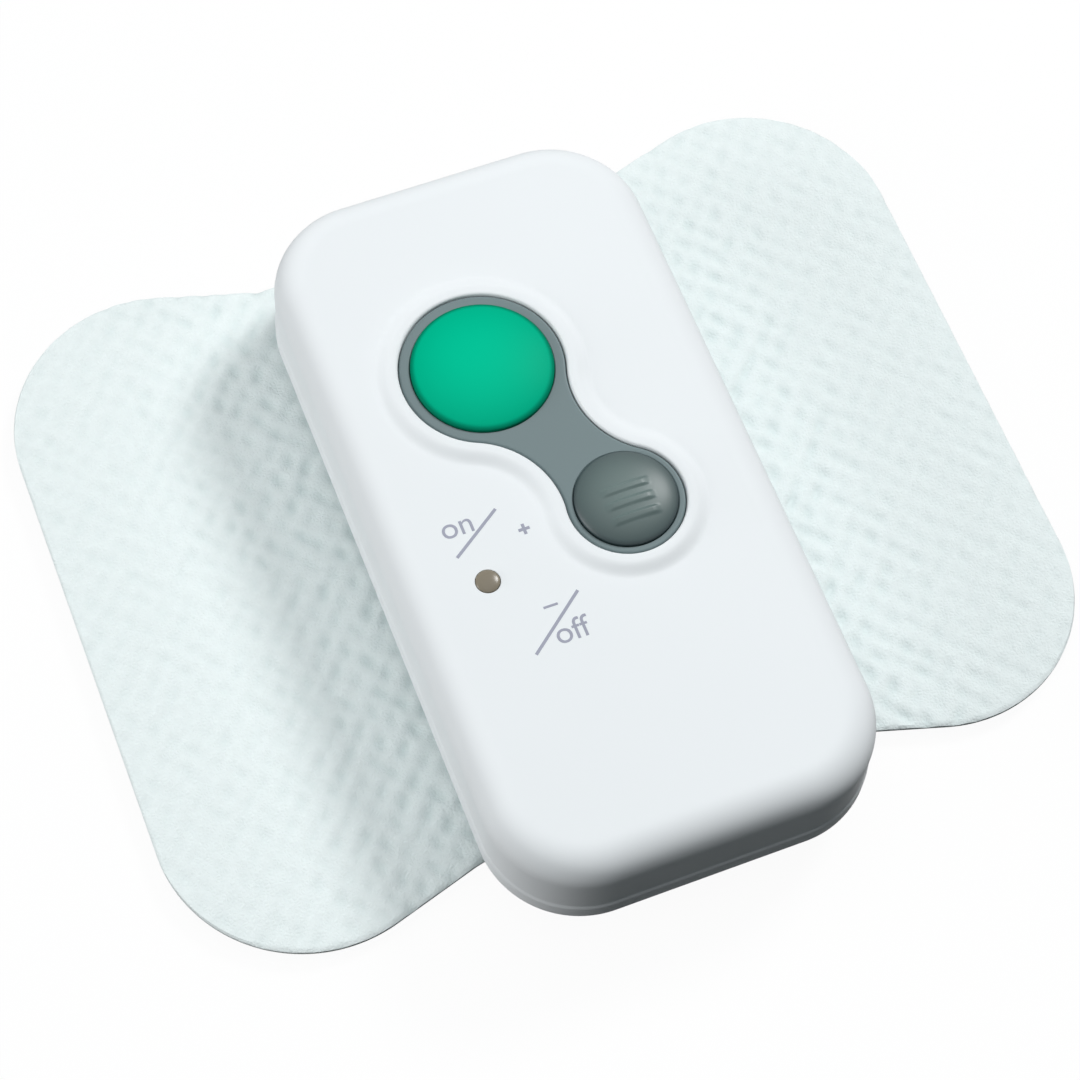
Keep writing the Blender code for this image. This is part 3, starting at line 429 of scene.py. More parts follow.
def carry(path, profile):
    """Rings of points: each (offset, height) of a profile, set out from a path along its directions."""
    points, outward = path
    offset, height = np.array(profile, float).T
    plan = points + offset[:, None, None] * outward
    lift = np.broadcast_to(height[:, None, None], plan.shape[:2] + (1,))
    return np.concatenate([plan, lift], axis=2)


def mesh_from(points, quads, caps=()):
    """A smooth mesh of points, four-sided faces and a few many-sided caps, with its sharp edges kept."""
    corners = np.concatenate([np.ravel(quads), *caps]).astype(np.int32)
    sizes = np.concatenate([np.full(len(quads), 4), [len(cap) for cap in caps]]).astype(np.int32)
    starts = np.concatenate([[0], np.cumsum(sizes)[:-1]]).astype(np.int32)
    mesh = bpy.data.meshes.new("surface")
    mesh.vertices.add(len(points))
    mesh.vertices.foreach_set("co", np.ravel(points).astype(np.float32))
    mesh.loops.add(len(corners))
    mesh.loops.foreach_set("vertex_index", corners)
    mesh.polygons.add(len(sizes))
    mesh.polygons.foreach_set("loop_start", starts)
    mesh.update(calc_edges=True)
    return smoothed(mesh)


def smoothed(mesh):
    """The mesh, shaded smooth but for its sharp edges."""
    mesh.shade_smooth()
    mesh.set_sharp_from_angle(angle=SHARP)
    return mesh


def noted(mesh, name, values):
    """Keep a value for each point of a mesh, for its finish to use."""
    attribute = mesh.attributes.new(name, "FLOAT", "POINT")
    attribute.data.foreach_set("value", values.astype(np.float32))


def shell(rings, closed=False):
    """A closed skin over rings of points that match: each joins the next, and the ends are capped or joined.

    The rings run anticlockwise, and go up on the outside, so that the faces look outwards.
    """
    rows, count = rings.shape[:2]
    row, column = np.meshgrid(np.arange(rows if closed else rows - 1), np.arange(count), indexing="ij")
    above = (row + 1) % rows
    beside = (column + 1) % count
    quads = [row * count + column, row * count + beside, above * count + beside, above * count + column]
    quads = np.stack(quads, axis=-1).reshape(-1, 4)
    ends = [np.arange(count)[::-1], np.arange(count) + (rows - 1) * count]
    return mesh_from(rings.reshape(-1, 3), quads, [] if closed else ends)


def turned(centre, profile, count=TURN_COUNT):
    """A profile of (radius, height) points turned about an upright axis."""
    return shell(carry(circle(centre, count), profile))


def peg(place, radius, low, high):
    """A round peg."""
    return turned(place, [(radius, low), (radius, high)], SMALL_COUNT)


def flared(place, radius, high):
    """A round hole up from the base, with a small chamfer at its mouth."""
    profile = [(radius + 2 * SUPPORT, base - SUPPORT), (radius, base + SUPPORT), (radius, high)]
    return turned(place, profile)


def prism(outline, low, high):
    """A plan outline carried straight up."""
    rings = [np.column_stack([outline, np.full(len(outline), height)]) for height in (low, high)]
    return shell(np.array(rings))


def sector(centre, inner, outer, heading, width):
    """Outline of part of a ring: an outer arc and back along an inner arc."""
    angle = heading + np.linspace(-width / 2, width / 2, SECTOR_COUNT)
    rim = np.column_stack([np.cos(angle), np.sin(angle)])
    return np.concatenate([outer * rim, inner * rim[::-1]]) + centre


def worked(mesh, joined=(), cut=()):
    """The mesh with other meshes joined to it and then cut out of it."""
    blank = bpy.data.objects.new("blank", mesh)
    scene.collection.objects.link(blank)
    tools = []
    for operation, shapes in (("UNION", joined), ("DIFFERENCE", cut)):
        for shape in shapes:
            tools.append(bpy.data.objects.new("tool", shape))
            scene.collection.objects.link(tools[-1])
            step = blank.modifiers.new("step", "BOOLEAN")
            step.operation = operation
            step.solver = "EXACT"
            step.object = tools[-1]
    bpy.context.view_layer.update()
    graph = bpy.context.evaluated_depsgraph_get()
    made = bpy.data.meshes.new_from_object(blank.evaluated_get(graph))
    for used in [blank, *tools]:
        bpy.data.objects.remove(used)
    return smoothed(made)


def show(name, mesh, material, body, slot, *nodes):
    """A piece of the object: it rides on a body, has a finish and may stand for nodes."""
    piece = bpy.data.objects.new(name, mesh)
    scene.collection.objects.link(piece)
    mesh.name = name
    mesh.materials.clear()
    mesh.materials.append(material)
    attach(piece, body)
    if nodes:
        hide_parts(*nodes)
    return piece


def feed(tree, value, socket):
    """Link a socket to an input, or set the input to a plain value."""
    if isinstance(value, bpy.types.NodeSocket):
        tree.links.new(value, socket)
    else:
        socket.default_value = value


def shader_node(tree, kind, fed=(), **settings):
    """A node of a shader tree with its settings, its inputs fed by (input, socket or value) pairs."""
    made = tree.nodes.new(kind)
    for setting, value in settings.items():
        setattr(made, setting, value)
    for label, value in fed:
        feed(tree, value, made.inputs[label])
    return made


def worked_out(tree, operation, first, second):
    """The outcome of a sum on two sockets or numbers."""
    return shader_node(tree, "ShaderNodeMath", [(0, first), (1, second)], operation=operation).outputs[0]


def mixed(tree, share, first, second):
    """A colour between two colours or sockets, at a share from 0 to 1."""
    fed = [("Factor", share), ("A", first), ("B", second)]
    return shader_node(tree, "ShaderNodeMix", fed, data_type="RGBA").outputs["Result"]


def noise(tree, place, scale, detail=2.0):
    """Cloudy noise between 0 and 1 on a place, at a scale that may be a socket."""
    fed = [("Vector", place), ("Scale", scale), ("Detail", detail)]
    return shader_node(tree, "ShaderNodeTexNoise", fed).outputs["Fac"]


def object_place(tree):
    """The place on the piece itself."""
    return tree.nodes.new("ShaderNodeTexCoord").outputs["Object"]


def new_skin(name, scale_label, scale):
    """An empty node group for a surface: its tree, its five inputs in their order and its outputs."""
    tree = bpy.data.node_groups.new(name, "ShaderNodeTree")
    inputs = [("Colour", "Color", (0.8, 0.8, 0.8, 1)), ("Cloud", "Float", 0.03), ("Roughness", "Float", 0.4)]
    inputs += [("Patch", "Float", 0.08), (scale_label, "Float", scale)]
    for label, kind, value in inputs:
        socket = tree.interface.new_socket(label, in_out="INPUT", socket_type="NodeSocket" + kind)
        socket.default_value = value
    for label, kind in (("Colour", "Color"), ("Roughness", "Float"), ("Height", "Float")):
        tree.interface.new_socket(label, in_out="OUTPUT", socket_type="NodeSocket" + kind)
    return tree, tree.nodes.new("NodeGroupInput").outputs, tree.nodes.new("NodeGroupOutput").inputs


def tinted(tree, colour, share, amount):
    """A colour made lighter and darker about itself, by an amount, as a share runs from 0 to 1."""
    away = worked_out(tree, "SUBTRACT", share, 0.5)
    gain = worked_out(tree, "ADD", worked_out(tree, "MULTIPLY", away, amount), 1.0)
    fed = [(0, colour), ("Scale", gain)]
    return shader_node(tree, "ShaderNodeVectorMath", fed, operation="SCALE").outputs[0]


def put_out(tree, given, out, cloud, patch, height):
    """Link the outputs of a surface: its clouded colour, its patchy roughness and its height."""
    tree.links.new(tinted(tree, given["Colour"], cloud, given["Cloud"]), out["Colour"])
    away = worked_out(tree, "MULTIPLY", worked_out(tree, "SUBTRACT", patch, 0.5), given["Patch"])
    tree.links.new(worked_out(tree, "ADD", given["Roughness"], away), out["Roughness"])
    tree.links.new(height, out["Height"])


def make_moulded_skin():
    """Moulded plastic: faint clouds of colour, patches of duller gloss and a fine spark-eroded grain."""
    tree, given, out = new_skin("moulded_skin", "Grain Scale", 5000.0)
    place = object_place(tree)
    grain = noise(tree, place, given["Grain Scale"], 1.0)
    put_out(tree, given, out, noise(tree, place, 70.0, 3.0), noise(tree, place, 420.0, 3.0), grain)
    return tree


def make_drawn_metal():
    """Drawn and tumbled metal: clouded colour, small rubbed marks and uneven gloss."""
    tree, given, out = new_skin("drawn_metal", "Mark Scale", 3000.0)
    place = object_place(tree)
    fed = [("Vector", place), ("Rotation", (0.4, 0.2, 0.7)), ("Scale", (1.0, 0.12, 1.0))]
    stretched = shader_node(tree, "ShaderNodeMapping", fed).outputs[0]
    marks = noise(tree, stretched, given["Mark Scale"])
    put_out(tree, given, out, noise(tree, place, 500.0, 3.0), marks, marks)
    return tree


moulded_skin = make_moulded_skin()
drawn_metal = make_drawn_metal()


def new_finish(name, **plain):
    """A material whose shader has some plain values, with its tree and shader."""
    material = bpy.data.materials.new(name)
    material.use_nodes = True
    shader = material.node_tree.nodes["Principled BSDF"]
    for label, value in plain.items():
        shader.inputs[label.replace("_", " ")].default_value = value
    return material, material.node_tree, shader


def raised(tree, shader, height, strength, distance):
    """Feed a height through a Bump node into the shader's normal."""
    fed = [("Height", height), ("Strength", strength), ("Distance", distance)]
    tree.links.new(shader_node(tree, "ShaderNodeBump", fed).outputs[0], shader.inputs["Normal"])


def grained(name, group, values, strength, **plain):
    """A material whose colour, roughness and bump come from a node group with its own values."""
    material, tree, shader = new_finish(name, **plain)
    skin = shader_node(tree, "ShaderNodeGroup", enumerate(values), node_tree=group)
    tree.links.new(skin.outputs["Colour"], shader.inputs["Base Color"])
    tree.links.new(skin.outputs["Roughness"], shader.inputs["Roughness"])
    raised(tree, shader, skin.outputs["Height"], strength, GRAIN_DEPTH)
    return material


def plastic(name, colour, roughness, cloud=0.03, patch=0.06, grain=5000.0, strength=0.12, **plain):
    """A moulded plastic of a colour."""
    values = [(*colour, 1), cloud, roughness, patch, grain]
    return grained(name, moulded_skin, values, strength, **plain)


def metal(name, colour, roughness, marks=3000.0):
    """A metal of a colour."""
    return grained(name, drawn_metal, [(*colour, 1), 0.12, roughness, 0.15, marks], 0.15, Metallic=1.0)


def make_nonwoven():
    """Embossed non-woven: felted fibres, with painted shade that darkens the pits of the embossing, most
    beside the case.
    """
    sheen = {"Sheen_Weight": 0.15, "Sheen_Roughness": 0.6}
    material, tree, shader = new_finish("nonwoven_white", Roughness=0.9, **sheen)
    place = object_place(tree)
    pit = shader_node(tree, "ShaderNodeAttribute", attribute_name="pit").outputs["Fac"]
    felt = noise(tree, place, 1100.0, 4.0)
    fed = [("Vector", place), ("Scale", 2600.0)]
    fibre = shader_node(tree, "ShaderNodeTexVoronoi", fed, feature="DISTANCE_TO_EDGE")
    # Painted shade: the pits take a darker colour
    shade = mixed(tree, pit, FABRIC_COLOUR, PIT_SHADE_COLOUR)
    tree.links.new(tinted(tree, shade, felt, 0.10), shader.inputs["Base Color"])
    height = worked_out(tree, "ADD", felt, worked_out(tree, "MULTIPLY", fibre.outputs["Distance"], 1.5))
    raised(tree, shader, height, 0.6, FELT_DEPTH)
    return material


def make_gel():
    """Hydrogel: clear, slightly milky and wet, with a woven scrim that shows as faint dimples."""
    material, tree, shader = new_finish("hydrogel", IOR=1.40, Transmission_Weight=0.85)
    place = object_place(tree)
    cloud = noise(tree, place, 160.0, 3.0)
    tree.links.new(mixed(tree, cloud, *GEL_COLOURS), shader.inputs["Base Color"])
    dull = worked_out(tree, "ADD", worked_out(tree, "MULTIPLY", cloud, 0.12), 0.08)
    tree.links.new(dull, shader.inputs["Roughness"])
    raised(tree, shader, noise(tree, place, 900.0), 0.15, DIMPLE_DEPTH)
    return material


def make_shaded_cap(name, middle_colour, rim_shade_colour, roughness, level):
    """Plastic of a button, with painted shade that darkens its colour towards the rim of the cap."""
    material = plastic(name, middle_colour, roughness, Specular_IOR_Level=level)
    tree = material.node_tree
    # The rim attribute carries how much painted shade darkens the cap
    rim = shader_node(tree, "ShaderNodeAttribute", attribute_name="rim").outputs["Fac"]
    skin = next(node for node in tree.nodes if node.type == "GROUP")
    tree.links.new(mixed(tree, rim, (*middle_colour, 1), (*rim_shade_colour, 1)), skin.inputs["Colour"])
    return material


white_case = plastic("white_abs", (0.85, 0.875, 0.89), 0.40, cloud=0.015, Specular_IOR_Level=0.01)
grey_bezel = plastic("grey_abs", (0.175, 0.228, 0.236), 0.45, Specular_IOR_Level=0.22)
# The second colour of each button cap is painted shade towards its rim
green_cap = make_shaded_cap("green_abs", (0.0, 0.53, 0.30), (0.0, 0.20, 0.11), 0.45, 0.02)
grey_cap = make_shaded_cap("grey_gloss", (0.125, 0.175, 0.168), (0.026, 0.046, 0.050), 0.40, 0.45)
smoked_lens = plastic("smoked_resin", (0.21, 0.18, 0.13), 0.26, patch=0.04)
lamp_resin = plastic("lamp_resin", (0.75, 0.72, 0.55), 0.3)
ink = plastic("violet_grey_ink", (0.33, 0.34, 0.42), 0.55, cloud=0.2, grain=9000.0)
nonwoven = make_nonwoven()
gel = make_gel()
carbon = {"cloud": 0.4, "patch": 0.2, "grain": 2500.0, "strength": 0.3}
carbon_film = plastic("carbon_film", (0.022, 0.022, 0.024), 0.55, **carbon)
nickel = metal("nickel_plate", (0.62, 0.60, 0.57), 0.24)
spring_steel = metal("spring_steel", (0.50, 0.50, 0.50), 0.30)
board = plastic("board_lacquer", (0.01, 0.13, 0.05), 0.40, cloud=0.3, grain=1800.0)
black_resin = plastic("black_resin", (0.022, 0.022, 0.023), 0.5, cloud=0.3)
can = metal("can_aluminium", (0.70, 0.70, 0.72), 0.30)
ferrite = plastic("ferrite", (0.05, 0.05, 0.055), 0.7, cloud=0.4, grain=1500.0, strength=0.4)
copper = metal("copper_wire", (0.72, 0.30, 0.14), 0.30, marks=6000.0)
cell_steel = metal("cell_steel", (0.58, 0.57, 0.55), 0.24)


def make_camera():
    """The photograph's camera."""
    rise = math.cos(CAMERA_RISE)
    back = Vector((math.sin(CAMERA_TURN) * rise, -math.cos(CAMERA_TURN) * rise, math.sin(CAMERA_RISE)))
    level = Vector((math.cos(CAMERA_TURN), math.sin(CAMERA_TURN), 0))
    upright = back.cross(level)
    right = level * math.cos(CAMERA_ROLL) + upright * math.sin(CAMERA_ROLL)
    up = upright * math.cos(CAMERA_ROLL) - level * math.sin(CAMERA_ROLL)
    camera = bpy.data.objects.new("camera", bpy.data.cameras.new("camera"))
    camera.data.sensor_width = CAMERA_SENSOR
    camera.data.lens = CAMERA_LENS
    camera.data.clip_start = CAMERA_NEAR
    turn = Matrix((right, up, back)).transposed().to_4x4()
    camera.matrix_world = Matrix.Translation(CAMERA_TARGET + back * CAMERA_DISTANCE) @ turn
    scene.collection.objects.link(camera)
    scene.camera = camera


def case_spans():
    """Spans of the plan of the case."""
    return oblong_spans(case_middle, case_width, case_length, CASE_CORNER)


def matched_case_path(points):
    """Plan of the case at the same bearings, from the keypad's neck, as points round the keypad."""
    neck = (green_place + grey_place) / 2
    spans = case_spans()
    fine = np.linspace(-1, 2, BEARING_COUNT)
    reach = walk(spans, fine % 1.0)[0] - neck
    bearing = np.unwrap(np.arctan2(reach[:, 1], reach[:, 0]))
    wanted = np.unwrap(np.arctan2(*(points - neck).T[::-1]))
    wanted += 2 * math.pi * np.round((bearing[len(fine) // 2] - wanted.mean()) / (2 * math.pi))
    return walk(spans, np.interp(wanted, bearing, fine) % 1.0)


def make_top_cover():
    """The upper shell: one profile carried round, over the wall, fillet, roof and collar, and back inside.

    The roof runs between two plans, the keypad's and the case's, whose points are matched by their bearing.
    The rim at the parting line and the collar rise by half a cosine wave.
    """
    opening = walk(keypad_spans(), even(ROUND_COUNT))
    foot = COLLAR_RIM + COLLAR_SLOPE
    case = matched_case_path(opening[0] + (foot + SUPPORT) * opening[1])
    low = cover_low
    share = np.linspace(0, 1, WAVE_COUNT)
    wave = (1 - np.cos(math.pi * share)) / 2
    outside = bend(-PARTING_ROUND, low + PARTING_ROUND, PARTING_ROUND, -90, 0, 4)
    outside += zip(-RIM_PROUD * wave, low + RIM_HEIGHT + RIM_STEP * share)
    outside += [(-RIM_PROUD, case_top - CASE_TOP_ROUND - SUPPORT)]
    inset = RIM_PROUD + CASE_TOP_ROUND
    outside += bend(-inset, case_top - CASE_TOP_ROUND, CASE_TOP_ROUND, 0, 90, 16)
    outside += [(-inset - SUPPORT, case_top)]
    rim = [(foot + SUPPORT, case_top), *zip(foot - COLLAR_SLOPE * share, case_top + COLLAR_HEIGHT * wave)]
    rim += [(COLLAR_RIM - SUPPORT, collar_top), (OPENING_GAP + COLLAR_EDGE + SUPPORT, collar_top)]
    rim += bend(OPENING_GAP + COLLAR_EDGE, collar_top - COLLAR_EDGE, COLLAR_EDGE, 90, 180, 6)
    rim += [(OPENING_GAP, roof_low)]
    inner_round = CASE_TOP_ROUND - WALL
    inside = bend(-WALL - inner_round, roof_low - inner_round, inner_round, 90, 0, 5)
    ledge = parting + LIP_RISE + CLEAR
    inside += [(-WALL, ledge), (CLEAR - LIP_INSET, ledge), (CLEAR - LIP_INSET, low)]
    rings = np.concatenate([carry(case, outside), carry(opening, rim), carry(case, inside)])
    boss_low = base + BOSS_LOW
    bosses = [peg(place, BOSS_RADIUS, boss_low, roof_low + ROOF / 2) for place in screw_places]
    bore_high = heights(screw_names[0])[1] + CLEAR
    bores = [peg(place, SCREW_RADIUS + CLEAR, base, bore_high) for place in screw_places]
    hole = LENS_RADIUS + LENS_GAP
    lens_hole = [(hole, roof_low - OVERRUN), (hole, case_top - LENS_GAP / 2)]
    lens_hole += [(hole + LENS_GAP, case_top + LENS_GAP / 2)]
    bores.append(turned(lens_place, lens_hole, SMALL_COUNT))
    mesh = worked(shell(rings, closed=True), bosses, bores)
    show("cover_shell", mesh, white_case, "controller", "white_case", "top_cover")


def make_bottom_cover():
    """The lower tray: a profile carried round the case, from its foot over the lip to the floor inside.

    The foot's arc stops where the parting line cuts it, short of upright.
    """
    inset = TRAY_INSET + CASE_BOTTOM_ROUND
    edge = parting - TRAY_EDGE
    lean = math.asin((base + CASE_BOTTOM_ROUND - edge) / CASE_BOTTOM_ROUND)
    side = CASE_BOTTOM_ROUND * math.cos(lean) - inset
    tray = [(-inset - SUPPORT, base)]
    tray += bend(-inset, base + CASE_BOTTOM_ROUND, CASE_BOTTOM_ROUND, -90, -math.degrees(lean), 12)
    tray += bend(side - TRAY_EDGE, edge, TRAY_EDGE, 0, 90, 5)[1:]
    lip = parting + LIP_RISE
    tray += [(-LIP_INSET, parting), (-LIP_INSET, lip), (-WALL, lip), (-WALL, base + FLOOR)]
    mesh = shell(carry(walk(case_spans(), even(ROUND_COUNT)), tray))
    board_low = heights("circuit_board")[0]
    top = base + PILLAR_HEIGHT
    pillars = [peg(place, PILLAR_RADIUS, base + PILLAR_LOW, top) for place in screw_places]
    for place in POST_PLACES:
        pillars.append(peg(case_middle + place, POST_RADIUS, base + FLOOR / 2, board_low - CLEAR))
    sink = heights(screw_names[0])[0] + SCREW_HEAD + CLEAR
    inside = base + FLOOR + OVERRUN
    holes = [flared(place, SCREW_HEAD_RADIUS + CLEAR, sink) for place in screw_places]
    holes += [peg(place, SCREW_RADIUS + CLEAR, base + SUPPORT, top + OVERRUN) for place in screw_places]
    holes += [flared(place, SEAT_RADIUS, base + SEAT_DEPTH) for place in snap_places]
    holes += [peg(place, SOCKET_RADIUS + CLEAR, base + SUPPORT, inside) for place in snap_places]
    holes.append(flared(door_place, DOOR_RADIUS + DOOR_GAP, inside))
    for heading in lug_headings():
        notch = (DOOR_RADIUS, DOOR_RADIUS + DOOR_GAP + DOOR_LUG_REACH, heading + DOOR_TURN)
        outline = sector(door_place, *notch, DOOR_LUG_ANGLE + 2 * CLEAR / DOOR_RADIUS)
        holes.append(prism(outline, base - OVERRUN, inside))
    show("tray_shell", worked(mesh, pillars, holes), white_case, "controller", "white_case", "bottom_cover")


def lug_headings():
    """Bearings of the lugs of the battery door."""
    return [math.pi / 2 + 2 * math.pi * lug / DOOR_LUGS for lug in range(DOOR_LUGS)]


def make_door():
    """The battery door: a turned lid with a rounded edge, lugs and a coin slot."""
    low = heights("battery_door")[0]
    lid = [(AXIS, low), (DOOR_RADIUS - DOOR_EDGE - SUPPORT, low)]
    lid += bend(DOOR_RADIUS - DOOR_EDGE, low + DOOR_EDGE, DOOR_EDGE, -90, 0, 4)
    lug_low = base + DOOR_LUG_LOW
    lug_high = base + DOOR_LUG_HIGH
    wall_high = lug_high + DOOR_LUG_STEP
    lid += [(DOOR_RADIUS, wall_high), (DOOR_INSIDE, wall_high), (DOOR_INSIDE, low + DOOR_THICKNESS)]
    lid += [(AXIS, low + DOOR_THICKNESS)]
    root = (DOOR_RADIUS + DOOR_INSIDE) / 2
    tip = DOOR_RADIUS + DOOR_GAP + DOOR_LUG_REACH - CLEAR
    outlines = [sector(door_place, root, tip, heading, DOOR_LUG_ANGLE) for heading in lug_headings()]
    lugs = [prism(outline, lug_low, lug_high) for outline in outlines]
    slot = walk(oblong_spans(door_place, SLOT_LENGTH, SLOT_WIDTH, SLOT_CORNER), even(SMALL_COUNT))
    flare = [(2 * SUPPORT, low - SUPPORT), (0, low + SUPPORT), (0, low + SLOT_DEPTH)]
    mesh = worked(turned(door_place, lid), lugs, [shell(carry(slot, flare))])
    show("door_lid", mesh, white_case, "battery_door", "white_case", "battery_door")


def make_screws():
    """The case screws: a pan head with a cross recess on a plain shank."""
    for name, place in zip(screw_names, screw_places):
        low, high = heights(name)
        head = low + SCREW_HEAD
        brim = SCREW_HEAD_RADIUS - SCREW_HEAD_ROUND
        profile = [(AXIS, low), (brim - FINE_EDGE, low)]
        profile += bend(brim, low + SCREW_HEAD_ROUND, SCREW_HEAD_ROUND, -90, 0, 5)
        profile += [(SCREW_HEAD_RADIUS, head), (SCREW_RADIUS, head), (SCREW_RADIUS, high - SCREW_TIP)]
        profile += [(SCREW_RADIUS - SCREW_TIP, high), (AXIS, high)]
        cross = []
        for width, length in ((SCREW_CROSS, SCREW_SLOT), (SCREW_SLOT, SCREW_CROSS)):
            outline = np.array([(1, 1), (-1, 1), (-1, -1), (1, -1)]) * (width / 2, length / 2) + place
            cross.append(prism(outline, low - SUPPORT, low + SCREW_HEAD / 2))
        mesh = worked(turned(place, profile, SMALL_COUNT), cut=cross)
        show(name + "_turned", mesh, nickel, "controller", "nickel", name)


def make_bezel():
    """The grey insert of the keypad: a flanged plate with a soft edge, and a flared hole for each button."""
    flange = bezel_low + BEZEL_FLANGE
    inset = BEZEL_LET_OUT - BEZEL_EDGE
    plate = [(BEZEL_FLANGE_REACH, bezel_low), (BEZEL_FLANGE_REACH, flange), (BEZEL_LET_OUT, flange)]
    plate += bend(inset, bezel_top - BEZEL_EDGE, BEZEL_EDGE, 0, 90, 8) + [(inset - SUPPORT, bezel_top)]
    rings = carry(walk(keypad_spans(), even(ROUND_COUNT)), plate)
    holes = []
    for place, radius in ((green_place, GREEN_RADIUS), (grey_place, GREY_RADIUS)):
        bore = radius + BUTTON_GAP
        profile = [(bore, bezel_low - OVERRUN), (bore, bezel_top - HOLE_EDGE)]
        profile += [(bore + 2 * HOLE_EDGE, bezel_top + HOLE_EDGE)]
        holes.append(turned(place, profile))
    mesh = worked(shell(rings), cut=holes)
    show("bezel_insert", mesh, grey_bezel, "controller", "grey_bezel", "keypad_bezel")


def button_profile(low, radius):
    """Profile of a hollow cap: its stem, the inside, the stop flange under the bezel and the outer wall."""
    roof = bezel_top - BUTTON_WALL
    flange = low + BUTTON_FLANGE
    profile = [(AXIS, low), (BUTTON_STEM, low), (BUTTON_STEM, roof), (radius - BUTTON_WALL, roof)]
    profile += [(radius - BUTTON_WALL, low), (radius + BUTTON_FLANGE_REACH, low)]
    return profile + [(radius + BUTTON_FLANGE_REACH, flange), (radius, flange)]


def rim_shade_share(rings, place, radius, radial_shade):
    """How strong the painted shade on a cap is: part of it grows as the square of the radius, part at the
    rim.
    """
    share = np.minimum(np.hypot(*(rings[..., :2] - place).reshape(-1, 2).T) / radius, 1)
    return radial_shade * share**2 + (1 - radial_shade) * step_up(share - SHADED_RIM_START, SHADED_RIM_SOFT)


def make_green_button():
    """The green button: a low turned dome."""
    low, crown = heights("increase_button")
    edge = bezel_top + GREEN_PROUD
    profile = button_profile(low, GREEN_RADIUS)
    profile += dome(GREEN_RADIUS, edge, crown - edge, 40, GREEN_FULLNESS)
    rings = carry(circle(green_place), profile)
    mesh = shell(rings)
    # Painted shade: the dome's colour darkens towards its rim
    noted(mesh, "rim", rim_shade_share(rings, green_place, GREEN_RADIUS, GREEN_PAINTED_SHADE))
    show("green_dome", mesh, green_cap, "increase_button", "green_button", "increase_button")


def step_up(distance, soft):
    """A soft step from 0 to 1 where a distance passes 0: a cubic blend over twice the softness."""
    share = np.clip(distance / (2 * soft) + 0.5, 0, 1)
    return share * share * (3 - 2 * share)


def make_grey_button():
    """The grey button: a turned dome raised along three ribs, each a soft step across and at its ends."""
    edge = bezel_top + GREY_PROUD
    under = button_profile(heights("decrease_button")[0], GREY_RADIUS)
    profile = under + dome(GREY_RADIUS, edge, GREY_CROWN, 90, GREY_FULLNESS)
    rings = carry(circle(grey_place, 2 * TURN_COUNT), profile)
    x = rings[..., 0] - grey_place[0]
    y = rings[..., 1] - grey_place[1] - RIB_SHIFT
    across = np.abs(y - RIB_SPACING * np.clip(np.round(y / RIB_SPACING), -1, 1))
    rib = step_up(RIB_WIDTH / 2 - across, RIB_SOFT) * step_up(RIB_LENGTH / 2 - np.abs(x), RIB_END)
    rib[: len(under)] = 0
    rings[..., 2] += RIB_HEIGHT * rib
    mesh = shell(rings)
    # Painted shade: the dome's colour darkens towards its rim
    noted(mesh, "rim", rim_shade_share(rings, grey_place, GREY_RADIUS, GREY_PAINTED_SHADE))
    show("grey_dome", mesh, grey_cap, "decrease_button", "grey_button", "decrease_button")


def make_lens():
    """The light pipe: a turned rod with a flange under the roof and a low dome above it."""
    low, crown = heights("led_lens")
    flange = roof_low - CLEAR
    brim = LENS_RADIUS + LENS_FLANGE_REACH
    profile = [(AXIS, low), (LENS_RADIUS, low), (LENS_RADIUS, flange - LENS_FLANGE)]
    profile += [(brim, flange - LENS_FLANGE), (brim, flange), (LENS_RADIUS, flange)]
    profile += dome(LENS_RADIUS, case_top, crown - case_top, 16)
    mesh = turned(lens_place, profile, SMALL_COUNT)
    show("light_pipe", mesh, smoked_lens, "controller", "smoked_lens", "led_lens")


def fitting(name, place, profile, body, node):
    """A turned fitting of plated metal."""
    mesh = turned(place, profile, SMALL_COUNT)
    show(name + "_turned", mesh, nickel, body, "nickel", node)


def make_studs():
    """The press studs and eyelets of the pad and the sockets of the controller, all turned."""
    for side, place in zip(("left", "right"), snap_places):
        low, high = heights(side + "_snap_stud")
        foot = low + STUD_WALL
        rim = (STUD_HEAD - STUD_HEAD_ROUND, high - STUD_HEAD_ROUND)
        undercut = math.degrees(math.acos((STUD_NECK - rim[0]) / STUD_HEAD_ROUND))
        profile = [(AXIS, high - STUD_WALL), (STUD_BORE, high - STUD_WALL), (STUD_BORE, low)]
        profile += [(STUD_FOOT - FINE_EDGE, low), (STUD_FOOT, low + FINE_EDGE)]
        profile += [(STUD_FOOT, foot - FINE_EDGE), (STUD_FOOT - FINE_EDGE, foot)]
        profile += [(STUD_NECK + STUD_NECK_FILLET, foot), (STUD_NECK, foot + STUD_NECK_FILLET)]
        profile += bend(*rim, STUD_HEAD_ROUND, -undercut, 90, 12) + [(AXIS, high)]
        fitting(side + "_stud", place, profile, "electrode_pad", side + "_snap_stud")
        low, high = heights(side + "_stud_eyelet")
        head = low + EYELET_WALL
        profile = [(AXIS, low), (EYELET_HEAD - FINE_EDGE, low), (EYELET_HEAD, low + FINE_EDGE)]
        profile += [(EYELET_HEAD, head), (EYELET_SHANK, head), (EYELET_SHANK, high - FINE_EDGE)]
        profile += [(EYELET_SHANK - FINE_EDGE, high), (AXIS, high)]
        fitting(side + "_eyelet", place, profile, "electrode_pad", side + "_stud_eyelet")
        low, high = heights(side + "_snap_socket")
        flange = base + FLOOR + SOCKET_SEATING
        brim = SOCKET_RADIUS + SOCKET_REACH
        profile = [(AXIS, high - SOCKET_WALL), (SOCKET_BORE, high - SOCKET_WALL)]
        profile += bend(SOCKET_BORE + SOCKET_WALL, low + SOCKET_WALL, SOCKET_WALL, 180, 360, 10)
        profile += [(SOCKET_RADIUS, flange), (brim, flange), (brim, flange + SOCKET_WALL)]
        profile += [(SOCKET_RADIUS, flange + SOCKET_WALL), (SOCKET_RADIUS, high), (AXIS, high)]
        fitting(side + "_socket", place, profile, "controller", side + "_snap_socket")


